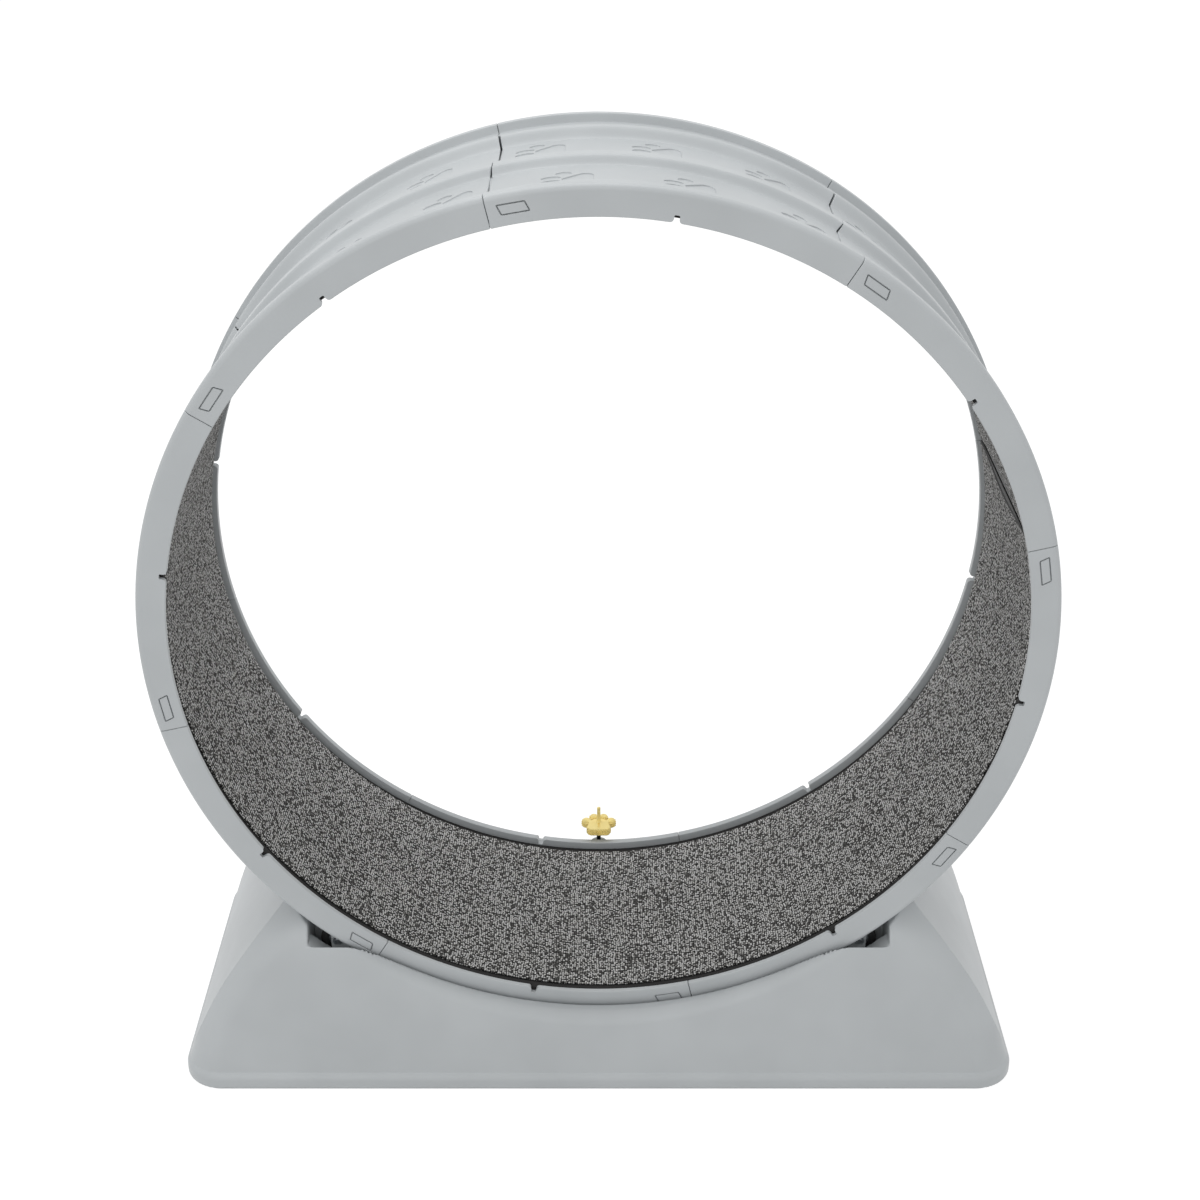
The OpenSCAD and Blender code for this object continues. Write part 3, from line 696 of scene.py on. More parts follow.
@dataclass
class RingTree:
    """A node tree that sets copies of a piece round an axle along Y."""

    name: str

    def build(self) -> bpy.types.GeometryNodeTree:
        """Makes the tree: named inputs, copies, Realize Instances and Set Material.

        Returns:
            The tree.
        """
        tree = bpy.data.node_groups.new(self.name, "GeometryNodeTree")
        tree.interface.new_socket("Geometry", in_out="INPUT", socket_type="NodeSocketGeometry")
        for label, kind in (
            ("Copied Piece", "NodeSocketObject"),
            ("Count", "NodeSocketInt"),
            ("Pitch", "NodeSocketFloat"),
            ("Axle Height", "NodeSocketFloat"),
            ("Material", "NodeSocketMaterial"),
        ):
            tree.interface.new_socket(label, in_out="INPUT", socket_type=kind)
        tree.interface.new_socket("Geometry", in_out="OUTPUT", socket_type="NodeSocketGeometry")
        given = add_node(tree, "NodeGroupInput").outputs
        source = add_node(tree, "GeometryNodeObjectInfo", {"Object": given["Copied Piece"]})
        line = {"Count": given["Count"], "Offset": (0.0, 0.0, 0.0)}
        points = add_node(tree, "GeometryNodeMeshLine", line)
        index = add_node(tree, "GeometryNodeInputIndex")
        pitches = {0: index.outputs[0], 1: given["Pitch"]}
        turn = add_node(tree, "ShaderNodeMath", pitches, operation="MULTIPLY")
        # Angles grow from +X to +Z, which is backwards about +Y
        back = add_node(tree, "ShaderNodeMath", {0: turn.outputs[0], 1: -1.0}, operation="MULTIPLY")
        spin = add_node(tree, "ShaderNodeCombineXYZ", {"Y": back.outputs[0]})
        part = source.outputs["Geometry"]
        set_out = {"Points": points.outputs[0], "Instance": part, "Rotation": spin.outputs[0]}
        copies = add_node(tree, "GeometryNodeInstanceOnPoints", set_out)
        real = add_node(tree, "GeometryNodeRealizeInstances", {"Geometry": copies.outputs[0]})
        lift = add_node(tree, "ShaderNodeCombineXYZ", {"Z": given["Axle Height"]})
        place = {"Geometry": real.outputs[0], "Translation": lift.outputs[0]}
        moved = add_node(tree, "GeometryNodeTransform", place)
        look = {"Geometry": moved.outputs[0], "Material": given["Material"]}
        dressed = add_node(tree, "GeometryNodeSetMaterial", look)
        add_node(tree, "NodeGroupOutput", {"Geometry": dressed.outputs[0]})
        return tree

    def apply(self, name: str, part: bpy.types.Object, values: dict[str, object]) -> bpy.types.Object:
        """Runs the tree on a new piece and keeps the plain mesh.

        Args:
            name: The new piece's name.
            part: What is copied, placed about the axle at the origin. It is removed.
            values: Value of each named input.

        Returns:
            The new piece.
        """
        tree = bpy.data.node_groups.get(self.name) or self.build()
        piece = make_piece(name, np.zeros((0, 3)), [])
        modifier = piece.modifiers.new("ring", "NODES")
        modifier.node_group = tree
        for item in tree.interface.items_tree:
            if item.in_out == "INPUT" and item.name in values:
                modifier[item.identifier] = values[item.name]
        bake(piece)
        old = part.data
        bpy.data.objects.remove(part)
        bpy.data.meshes.remove(old)
        return piece


# Sub-assemblies


@dataclass
class Wheel:
    """The ring of eight clip-together segments, with paw prints sunk in its troughs.

    Radii are from the axle, and places across are from the wheel's middle. The section runs
    from the middle ridge over a trough, a shoulder, a groove and the rim's corner to the lip.
    """

    palette: Palette
    axle_z: float = 518.0
    rim_r: float = 450.0
    half_w: float = 148.0
    lip_r: float = 420.2
    lip_w: float = 5.0
    rear_lip_w: float = 8.0
    lip_round: float = 1.0
    floor_r: float = 430.6
    trough_r: float = 434.3
    ridge_r: float = 443.0
    ridge_half_w: float = 7.0
    ridge_bank: float = 9.5
    shoulder_r: float = 445.5
    front_shoulder_r: float = 442.6
    shoulder_in: float = 103.5
    shoulder_out: float = 106.5
    shoulder_bank: float = 13.0
    groove_r: float = 442.0
    groove_in: float = 109.5
    groove_out: float = 132.5
    rim_in: float = 135.0
    corner_r: float = 6.0
    # Joints between the segments
    segments: int = 8
    sweep_deg: float = 0.75
    joint_deg: float = 13.1
    gap: float = 0.5
    joint_round: float = 0.9
    joint_step: float = 2.5
    joint_open: float = 0.7
    # Cuts in the side faces start this far outside them, and have this soft edge
    overrun: float = 1.0
    edge_soft: float = 0.4
    # Latch windows and the tabs that fill them
    window_r: float = 434.9
    window_l: float = 26.5
    window_h: float = 10.2
    window_corner: float = 1.6
    window_least_corner: float = 0.5
    window_inset: float = 10.5
    window_slant_deg: float = 18.0
    window_depth: float = 3.0
    # Depth under the face and gap to the window of each ring of the tab's edge
    tab_edge: tuple[tuple[float, float], ...] = ((0.1, 1.4), (0.3, 1.2), (0.7, 1.1))
    tab_root: float = 0.5
    # Notches in the lips
    notch_w: float = 5.9
    notch_h: float = 7.6
    notch_top_r: float = 1.5
    notch_mouth_r: float = 4.0
    notch_soft: float = 0.5
    notch_overrun: float = 3.0
    # Paw prints in the troughs
    print_pitch_deg: float = 15.0
    # Angle from the joint and place across of each row of prints
    print_rows: tuple[tuple[float, float], ...] = ((9.4, 56.0), (5.7, -64.0))
    print_depth: float = 1.2
    # Height from the print's floor and margin of each ring of its wall
    print_foot: tuple[tuple[float, float], ...] = ((0.0, -0.35), (0.3, 0.0))
    # Depth under the trough and margin of each ring of the print's rim
    print_rim: tuple[tuple[float, float], ...] = ((0.3, 0.1), (0.0, 0.4))
    print_flare: float = 1.5
    toe_half_w: float = 5.5
    # Place along the trough, place across and half length of the toes on one side
    toes: tuple[tuple[float, float, float], ...] = ((15.0, 7.0, 9.2), (3.5, 20.5, 7.5))
    # The pad's tip: place along and radius; its two heels: places along and across, and radius
    pad_tip: tuple[float, float] = (-1.0, 5.5)
    pad_heel: tuple[float, float, float] = (-17.0, 11.5, 7.5)

    def _half(self, shoulder_r: float, lip_w: float) -> Line:
        """One half of the section, from the middle ridge to the lip's foot.

        Args:
            shoulder_r: Radius of the crest of the shoulder.
            lip_w: Width of the lip.

        Returns:
            Radius and place across of each point.
        """
        ridge_foot, shoulder_foot = self.ridge_half_w + self.ridge_bank, self.shoulder_in - self.shoulder_bank
        half = soft_bank((self.ridge_r, self.ridge_half_w), (self.trough_r, ridge_foot))
        half += soft_bank((self.trough_r, shoulder_foot), (shoulder_r, self.shoulder_in))
        half += soft_bank((shoulder_r, self.shoulder_out), (self.groove_r, self.groove_in), 5)
        half += soft_bank((self.groove_r, self.groove_out), (self.rim_r, self.rim_in), 6)
        half += arc((self.rim_r - self.corner_r, self.half_w - self.corner_r), self.corner_r, 0, 90, 6)
        soft = self.lip_round
        half += arc((self.lip_r + soft, self.half_w - soft), soft, 90, 180, 4)
        half += arc((self.lip_r + soft, self.half_w - lip_w + soft), soft, 180, 270, 4)
        return half + [(self.floor_r, self.half_w - lip_w)]

    def section(self) -> np.ndarray:
        """Closed section of a segment, counter-clockwise in radius and place across."""
        front = [(r, -y) for r, y in reversed(self._half(self.front_shoulder_r, self.lip_w))]
        return np.array(front + self._half(self.shoulder_r, self.rear_lip_w))

    def _joint_skew(self, across: np.ndarray, share: float) -> np.ndarray:
        """Steps a joint sideways in the troughs and opens it there.

        Args:
            across: Places across the wheel.
            share: Share of the segment, 0 at its start and 1 at its end.

        Returns:
            Shift along the rim of each place.
        """
        feet = [self.ridge_half_w, 2 * self.ridge_half_w, self.shoulder_in, self.shoulder_out]
        trough = np.interp(np.abs(across), feet, [0.0, 1.0, 1.0, 0.0])
        return trough * (self.joint_open * (1 - 2 * share) - self.joint_step * np.sign(across))

    def _window(self, grow: float) -> np.ndarray:
        """Outline of the latch window, with small rounds at its corners.

        Args:
            grow: Margin round the outline.

        Returns:
            Points (N, 2), counter-clockwise: out from the middle and along the rim.
        """
        lean = math.tan(math.radians(self.window_slant_deg))
        hx, hy = self.window_h / 2 + grow, self.window_l / 2 + grow * math.hypot(1, lean)
        corners = [(-hx, -hy - hx * lean), (hx, -hy + hx * lean), (hx, hy + hx * lean), (-hx, hy - hx * lean)]
        radius = max(self.window_corner + grow, self.window_least_corner)
        shares = np.linspace(0, 1, 5)
        points = []
        for i, corner in enumerate(corners):
            here = np.array(corner)
            to_last, to_next = np.array(corners[i - 1]) - here, np.array(corners[(i + 1) % 4]) - here
            start = here + to_last / np.linalg.norm(to_last) * radius
            end = here + to_next / np.linalg.norm(to_next) * radius
            points += [(1 - t) ** 2 * start + 2 * t * (1 - t) * here + t * t * end for t in shares]
        return np.array(points)

    def _notch(self, grow: float) -> np.ndarray:
        """Outline of the lip's notch with its flared mouth.

        Args:
            grow: Margin round the outline.

        Returns:
            Points (N, 2): out from the lip's edge and along the rim.
        """
        half_w, mouth_r, top_r = self.notch_w / 2, self.notch_mouth_r, self.notch_top_r
        right = [(-self.notch_overrun, half_w + mouth_r)]
        right += arc((mouth_r, half_w + mouth_r), mouth_r, 180, 270, 6)
        right += arc((self.notch_h - top_r, half_w - top_r), top_r, 90, 0, 4)
        return inset_loop(np.array([(x, -y) for x, y in reversed(right)] + right), -grow)

    def _mouth(self, outline: Margined, drop: float, depth: float) -> Rings:
        """Rings of a cut into the side face whose edge is softened.

        Args:
            outline: Outline of the cut.
            drop: Depth of the soft edge.
            depth: Depth of the cut.

        Returns:
            Height and outline of each ring.
        """
        wide = [(self.overrun, self.overrun + self.edge_soft), (0.0, self.edge_soft)]
        return [(self.half_w + rise, outline(grow)) for rise, grow in wide + [(-drop, 0.0), (-depth, 0.0)]]

    def _tab(self) -> Rings:
        """Rings of the latch's tab, which fills its window up to a gap.

        Returns:
            Height and outline of each ring.
        """
        edge = self.tab_edge + ((self.window_depth + self.tab_root, self.tab_edge[-1][1]),)
        return [(self.half_w - depth, self._window(-gap)) for depth, gap in edge]

    def _on_face(self, solid: Solid, centre_r: float, deg: float, side: int) -> Solid:
        """Places a solid on the front or rear face.

        Args:
            solid: Points and faces, with x out from the axle, y round it and z out of the face.
            centre_r: Radius of the solid's middle.
            deg: Angle of its middle.
            side: -1 for the front face and 1 for the rear face.

        Returns:
            The placed points and the faces.
        """
        points, faces = solid
        a = math.radians(deg)
        r, t = points[:, 0] + centre_r, points[:, 1]
        x, z = r * math.cos(a) - t * math.sin(a), r * math.sin(a) + t * math.cos(a)
        return np.stack([x, side * points[:, 2], z], 1), faces

    def _segment(self) -> bpy.types.Object:
        """Builds one segment with its windows, tabs, notches and prints.

        Returns:
            The segment, about the axle at the origin.
        """
        pitch = 360 / self.segments
        gap_deg = math.degrees(self.gap / self.rim_r)
        start, end = self.joint_deg + gap_deg / 2, self.joint_deg + pitch - gap_deg / 2
        sweep = Sweep(0.0, start, end, self.sweep_deg, self.joint_round, self.floor_r)
        segment = sweep.build("rim_segment", self.section(), skew=self._joint_skew)
        window_deg = end - math.degrees((self.window_inset + self.window_l / 2) / self.window_r)
        window = prism(self._mouth(self._window, self.edge_soft, self.window_depth))
        cuts, tabs = [], []
        for side, lip_w in ((-1, self.lip_w), (1, self.rear_lip_w)):
            notch = prism(self._mouth(self._notch, self.notch_soft, lip_w + self.overrun))
            cuts.append(self._on_face(window, self.window_r, window_deg, side))
            cuts.append(self._on_face(notch, self.lip_r, (start + end) / 2, side))
            tabs.append(self._on_face(prism(self._tab()), self.window_r, window_deg, side))
        for offset, y in self.print_rows:
            for i in range(round(pitch / self.print_pitch_deg)):
                cuts += self._print(self.joint_deg + offset + i * self.print_pitch_deg, y)
        cutter, tab = joined("cutter", cuts), joined("tab", tabs)
        modifier = segment.modifiers.new("cut", "BOOLEAN")
        modifier.operation = "DIFFERENCE"
        modifier.solver = "EXACT"
        modifier.object = cutter
        bake(segment)
        work = bmesh.new()
        work.from_mesh(segment.data)
        work.from_mesh(tab.data)
        work.to_mesh(segment.data)
        work.free()
        for helper in (cutter, tab):
            bpy.data.objects.remove(helper)
        settle(segment, sharp_deg=30.0)
        return segment

    def _sink(self, outline: Line, deg: float, y: float) -> Solid:
        """A cutter through the trough's surface.

        Args:
            outline: Places along the trough and across it, round a middle.
            deg: Angle of the middle.
            y: Place of the middle across.

        Returns:
            Points and faces.
        """
        loop = np.array(outline)
        steps = [(self.trough_r - self.print_depth + rise, grow) for rise, grow in self.print_foot]
        steps += [(self.trough_r - drop, grow) for drop, grow in self.print_rim]
        steps.append((self.trough_r + 3 * self.print_depth, self.print_flare))
        points, faces = prism([(radius, inset_loop(loop, -grow)) for radius, grow in steps])
        turn, radius = math.radians(deg) + points[:, 0] / self.trough_r, points[:, 2]
        return np.stack([radius * np.cos(turn), points[:, 1] + y, radius * np.sin(turn)], 1), faces

    def _print(self, deg: float, y: float) -> list[Solid]:
        """Cutters of one paw print about the axle at the origin, toes up the trough.

        Args:
            deg: Angle of the print's middle.
            y: Place of its middle across.

        Returns:
            Points and faces of each toe and of the pad.
        """
        made = []
        wide, turns = self.toe_half_w, [2 * math.pi * k / 28 for k in range(28)]
        for side in (-1, 1):
            for along, across, reach in self.toes:
                ring = [(along + reach * math.cos(t), side * across + wide * math.sin(t)) for t in turns]
                made.append(self._sink(ring, deg, y))
        tip_s, tip_r = self.pad_tip
        heel_s, heel_y, heel_r = self.pad_heel
        slope = math.degrees(math.atan2(tip_s - heel_s, heel_y)) + math.degrees(
            math.asin((heel_r - tip_r) / math.hypot(tip_s - heel_s, heel_y))
        )
        pad = arc((tip_s, 0.0), tip_r, -slope, slope, 8)
        pad += arc((heel_s, heel_y), heel_r, slope, 180, 8)
        pad += arc((heel_s, -heel_y), heel_r, 180, 360 - slope, 8)
        return made + [self._sink(pad, deg, y)]

    def build(self) -> list[bpy.types.Object]:
        """Builds the ring and ties it to the wheel.

        Returns:
            The pieces.
        """
        segment = self._segment()
        values = {
            "Copied Piece": segment,
            "Count": self.segments,
            "Pitch": 2 * math.pi / self.segments,
            "Axle Height": self.axle_z * MM,
            "Material": self.palette.get(SHELL_ABS),
        }
        ring = RingTree("copies_round_the_axle").apply("rim_ring", segment, values)
        weigh_normals(ring)
        tie(ring, "wheel")
        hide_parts(*[f"rim_segment_{i + 1}" for i in range(self.segments)])
        return [ring]


@dataclass
class Mat:
    """The foam underlay and the carpet runner on it.

    The foam swells in front of the carpet's edge and is thinner behind its rear edge.
    """

    palette: Palette
    axle_z: float = 518.0
    joint_deg: float = 13.1
    sweep_deg: float = 1.0
    foam_out: float = 430.4
    foam_in: float = 426.4
    foam_half_w: float = 142.8
    foam_rear: float = 139.8
    foam_round: float = 0.6
    foam_cut: float = 0.05
    carpet_out: float = 426.2
    carpet_in: float = 423.2
    carpet_w: float = 256.0
    carpet_shift: float = -1.0
    carpet_round: float = 1.2
    seam: float = 7.0
    seam_bulge: float = 12.0
    seam_deg: float = 1.3
    seam_slip: float = 5.0
    covered_half_w: float = 131.0
    swell: float = 2.6
    rear_thin: float = 2.0
    # Reach in millimetres, waves in a turn and phase of the wander of the hand-laid carpet
    wander: tuple[tuple[float, int, float], ...] = (
        (1.0, 2, 0.6),
        (0.5, 5, 1.9),
        (0.35, 13, 0.0),
        (0.25, 31, 0.8),
    )

    def _section(
        self,
        inner: float,
        outer: float,
        low: float,
        high: float,
        soft: float,
        swell: float = 0.0,
        thin: float = 0.0,
    ) -> np.ndarray:
        """Closed section of a flat strip with rounded edges.

        Args:
            inner: Inner radius.
            outer: Outer radius.
            low: Front edge.
            high: Rear edge.
            soft: Radius of the edges.
            swell: How much the strip is thicker in front of the carpet.
            thin: How much it is thinner behind the carpet.

        Returns:
            Points, counter-clockwise in radius and place across.
        """
        edge_y, nearly = self.covered_half_w, 0.01
        marks = [-edge_y - swell * k / 3 for k in range(4)] + [edge_y + thin * k / 3 for k in range(4)]
        across = np.unique(np.concatenate([np.linspace(low + soft, high - soft, 42), marks if swell else []]))
        across = across[(across > low + soft) & (across < high - soft)][::-1]
        feet = [-edge_y - swell - nearly, -edge_y, edge_y, edge_y + thin + nearly]
        skin = inner + np.interp(across, feet, [-swell, 0.0, 0.0, thin])
        loop = arc((outer - soft, high - soft), soft, 0, 90, 3)
        loop += arc((inner + thin + soft, high - soft), soft, 90, 180, 3)
        loop += list(zip(skin.tolist(), across.tolist()))
        loop += arc((inner - swell + soft, low + soft), soft, 180, 270, 3)
        return np.array(loop + arc((outer - soft, low + soft), soft, 270, 360, 3))

    def _seam_skew(self, across: np.ndarray, share: float) -> np.ndarray:
        """Opens the seam in the middle and pulls its front end back.

        Args:
            across: Places across the wheel.
            share: Share of the strip, 0 at its start and 1 at its end.

        Returns:
            Shift along the strip of each place.
        """
        side = (across - self.carpet_shift) / (self.carpet_w / 2)
        middle = np.cos(math.pi / 2 * side)
        return self.seam_bulge * middle**2 * (1 - 2 * share) - self.seam_slip * np.clip(-side, 0, 1) ** 2

    def _edge_wander(self, deg: float) -> float:
        """Sideways shift of the carpet at an angle, in millimetres."""
        return sum(reach * math.sin(waves * math.radians(deg) + phase) for reach, waves, phase in self.wander)

    def _backing_and_seam_shade(self, carpet: bpy.types.Object, rings: int = 3) -> None:
        """Dresses the carpet's two cut ends in black rubber: partly its backing, partly painted shade in the
        seam.

        Args:
            carpet: The carpet, as the sweep made it.
            rings: Number of rings of faces that round each end.
        """
        carpet.data.materials.append(self.palette.get(RUBBER))
        faces = list(carpet.data.polygons)
        around = rings * len(faces[-1].vertices)
        # Painted shade: the whole rounded end turns black, not only the backing
        for face in faces[:around] + faces[-2 - around :]:
            face.material_index = 1

    def _foam(self) -> bpy.types.Object:
        """Returns:
            The foam.
        """
        section = self._section(
            self.foam_in,
            self.foam_out,
            -self.foam_half_w,
            self.foam_rear,
            self.foam_round,
            self.swell,
            self.rear_thin,
        )
        cut_deg = math.degrees(self.foam_cut / self.foam_in)
        start, end = self.joint_deg + cut_deg, self.joint_deg + 360.0 - cut_deg
        sweep = Sweep(self.axle_z, start, end, self.sweep_deg, self.foam_cut, self.foam_in)
        foam = sweep.build("foam_underlay_sheet", section)
        self.palette.dress(foam, FOAM)
        tie(foam, "wheel")
        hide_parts("foam_underlay")
        return foam

    def _carpet(self) -> bpy.types.Object:
        """Returns:
            The carpet.
        """
        half_seam = math.degrees(self.seam / 2 / self.carpet_in)
        low, high = self.carpet_shift - self.carpet_w / 2, self.carpet_shift + self.carpet_w / 2
        section = self._section(self.carpet_in, self.carpet_out, low, high, self.carpet_round)
        middle = self.joint_deg + self.seam_deg
        start, end = middle + half_seam, middle + 360.0 - half_seam
        sweep = Sweep(self.axle_z, start, end, self.sweep_deg, self.carpet_round, self.carpet_in)
        carpet = sweep.build("carpet_runner_sheet", section, self._edge_wander, self._seam_skew)
        self.palette.dress(carpet, CARPET)
        self._backing_and_seam_shade(carpet)
        tie(carpet, "wheel")
        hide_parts("carpet_runner")
        return carpet

    def build(self) -> list[bpy.types.Object]:
        """Builds both layers.

        Returns:
            The pieces.
        """
        foam = self._foam()
        return [foam, self._carpet()]


@dataclass
class Base:
    """The hollow base that holds the rollers, as one soft moulded form.

    Each half mirrors the other both ways, apart from the brake's seat at the rear.
    """

    palette: Palette
    axle_z: float = 518.0
    # Lip round the foot
    under_z: float = 0.7
    lip_half_x: float = 446.0
    lip_half_y: float = 190.0
    lip_corner: float = 43.0
    lip_h: float = 19.4
    lip_round: float = 10.0
    lip_foot: float = 1.5
    lip_fillet: float = 0.6
    # Body with bulged ends, leaning faces and round shoulders
    body_half_x: float = 441.5
    body_half_y: float = 185.0
    tower_z: float = 198.0
    bulge_r: float = 400.0
    lean_deg: float = 11.0
    shoulder_r: float = 115.0
    shoulder_z: float = 131.0
    hip_r: float = 37.0
    hip_cut: float = 10.0
    hip_z: tuple[float, float] = (26.0, 84.0)
    # Channel that the wheel turns in, and the hollowed tops of its walls
    channel_r: float = 457.0
    channel_half_w: float = 152.0
    channel_round: float = 1.6
    valley_r: float = 434.3
    wall_round: float = 12.0
    hump_x: float = 304.7
    hump_z: float = 161.5
    hump_round: float = 3.0
    # Roller pockets and their gussets
    pocket_x: tuple[float, float] = (250.7, 305.7)
    pocket_y: float = 105.7
    pocket_z: float = 117.9
    pocket_end: float = 153.0
    pocket_round: float = 1.5
    gusset_y: float = 131.8
    gusset_slope: float = 1.2
    gusset_round: float = 1.0
    # Boss round the brake's stem
    boss_r: float = 11.5
    boss_rise: float = 0.3
    boss_round: float = 0.8
    boss_fillet: float = 2.0
    # Room for the cover underneath
    cover_in: float = 6.0
    cover_z: float = 6.4
    cover_corner: float = 38.0
    # Seat of the brake's stem and room for its cam
    seat_z: float = 83.2
    seat_r: float = 9.55
    stem_y: float = 163.0
    cam_z: float = 75.55
    cam_half_t: float = 3.5
    cam_hub_r: float = 6.8
    cam_reach: float = 15.5
    lobe_half_w: float = 4.8
    # Grid step, and the share of the faces that thinning keeps
    grid: float = 2.0
    keep: float = 0.4

    def __post_init__(self) -> None:
        """Works out the centres of the end arcs and of the round shoulders."""
        low_z = self.under_z + self.lip_h
        peak_x = math.sqrt(self.channel_r**2 - (self.axle_z - self.tower_z) ** 2)
        dx, dz = self.body_half_x - peak_x, self.tower_z - low_z
        chord = math.hypot(dx, dz)
        rise = math.sqrt(self.bulge_r**2 - (chord / 2) ** 2)
        middle = (self.body_half_x + peak_x) / 2, (low_z + self.tower_z) / 2
        self._bulge = (middle[0] - rise * dz / chord, middle[1] - rise * dx / chord)
        lean = math.radians(self.lean_deg)
        self._out = (math.cos(lean), math.sin(lean))
        face_y = self.body_half_y - (self.shoulder_z - low_z) * math.tan(lean)
        in_y, down_z = (self.shoulder_r * part for part in self._out)
        self._shoulder = (face_y - in_y, self.shoulder_z - down_z)

    def _body(self, x: np.ndarray, y: np.ndarray, z: np.ndarray) -> np.ndarray:
        """Distance to the body: bulged ends, leaning faces, round shoulders and hollowed wall tops.

        Args:
            x: Distances from the middle along the base, in millimetres.
            y: Distances from the middle across it.
            z: Heights.

        Returns:
            Signed distances in millimetres.
        """
        ends = np.hypot(x - self._bulge[0], z - self._bulge[1]) - self.bulge_r
        dy, dz = y - self._shoulder[0], z - self._shoulder[1]
        below = dy * -self._out[1] + dz * self._out[0] < 0
        flat = dy * self._out[0] + dz * self._out[1] - self.shoulder_r
        faces = np.where(below, flat, np.hypot(dy, dz) - self.shoulder_r)
        up = np.clip((z - self.hip_z[0]) / (self.hip_z[1] - self.hip_z[0]), 0, 1)
        body = np.maximum(ends, both(self.hip_r, ends - self.hip_cut * ease(up), faces))
        body = np.maximum(body, self.under_z + self.lip_h / 2 - z)
        valley = np.hypot(x, z - self.axle_z) - self.valley_r
        hump = np.maximum(x - self.hump_x, self.hump_z - z)
        return less(self.hump_round, less(self.wall_round, body, valley), hump)

    def _pocket(self, x: np.ndarray, y: np.ndarray, z: np.ndarray) -> np.ndarray:
        """Distance to a roller's pocket, with the gusset that slopes down its outer end.

        Args:
            x: Distances from the middle along the base, in millimetres.
            y: Distances from the middle across it.
            z: Heights.

        Returns:
            Signed distances in millimetres.
        """
        middle, half = sum(self.pocket_x) / 2, (self.pocket_x[1] - self.pocket_x[0]) / 2
        pocket = np.maximum(np.abs(x - middle) - half, self.pocket_y - y)
        pocket = np.maximum(np.maximum(pocket, y - self.pocket_end), self.pocket_z - z)
        slant = self.pocket_x[1] - x - self.gusset_slope * (self.hump_z - z)
        slant /= math.hypot(1, self.gusset_slope)
        return less(self.gusset_round, pocket, np.maximum(slant, self.gusset_y - y))

    def _cam_room(self, out: np.ndarray, at: np.ndarray) -> np.ndarray:
        """Distance to the room for the brake's cam, open to the wheel's face.

        Args:
            out: Distances from the stem, in millimetres.
            at: Points (N, 3) in millimetres.

        Returns:
            Signed distances in millimetres.
        """
        reach = np.maximum(at[:, 0], at[:, 1] - self.stem_y)
        lobe = np.maximum(out - self.cam_reach, reach - self.lobe_half_w)
        slab = np.abs(at[:, 2] - self.cam_z) - self.cam_half_t
        return np.maximum(np.minimum(out - self.cam_hub_r, lobe), slab)

    def _shape(self, at: np.ndarray) -> np.ndarray:
        """Distance to the whole base.

        Args:
            at: Points (N, 3) in millimetres.

        Returns:
            Signed distances in millimetres.
        """
        x, y, z = np.abs(at[:, 0]), np.abs(at[:, 1]), at[:, 2]
        stem = np.hypot(at[:, 0], at[:, 1] - self.stem_y)
        boss = both(self.boss_round, stem - self.boss_r, z - self.seat_z - self.boss_rise)
        body = either(self.boss_fillet, self._body(x, y, z), boss)
        channel = np.maximum(np.hypot(x, z - self.axle_z) - self.channel_r, y - self.channel_half_w)
        body = less(self.channel_round, body, channel)
        body = less(self.pocket_round, body, self._pocket(x, y, z))
        plan = plate(x, y, self.lip_half_x, self.lip_half_y, self.lip_corner)
        lip = both(self.lip_round, plan, z - self.under_z - self.lip_h)
        whole = either(self.lip_fillet, body, both(self.lip_foot, lip, self.under_z - z))
        cover_half_x, cover_half_y = self.lip_half_x - self.cover_in, self.lip_half_y - self.cover_in
        cover = plate(x, y, cover_half_x, cover_half_y, self.cover_corner)
        seat = np.maximum(stem - self.seat_r, self.seat_z - z)
        for room in (np.maximum(cover, z - self.cover_z), seat, self._cam_room(stem, at)):
            whole = np.maximum(whole, -room)
        return whole

    def build(self) -> list[bpy.types.Object]:
        """Builds the base and ties it down.

        Returns:
            The pieces.
        """
        margin = 2 * self.grid
        low = (-self.lip_half_x - margin, -self.lip_half_y - margin, self.under_z - margin)
        high = (self.lip_half_x + margin, self.lip_half_y + margin, self.tower_z + 2 * margin)
        base = SoftSolid("base_moulding", self._shape, low, high, self.grid, self.keep).build()
        self.palette.dress(base, SHELL_ABS)
        tie(base, "base")
        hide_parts("base_shell")
        return [base]


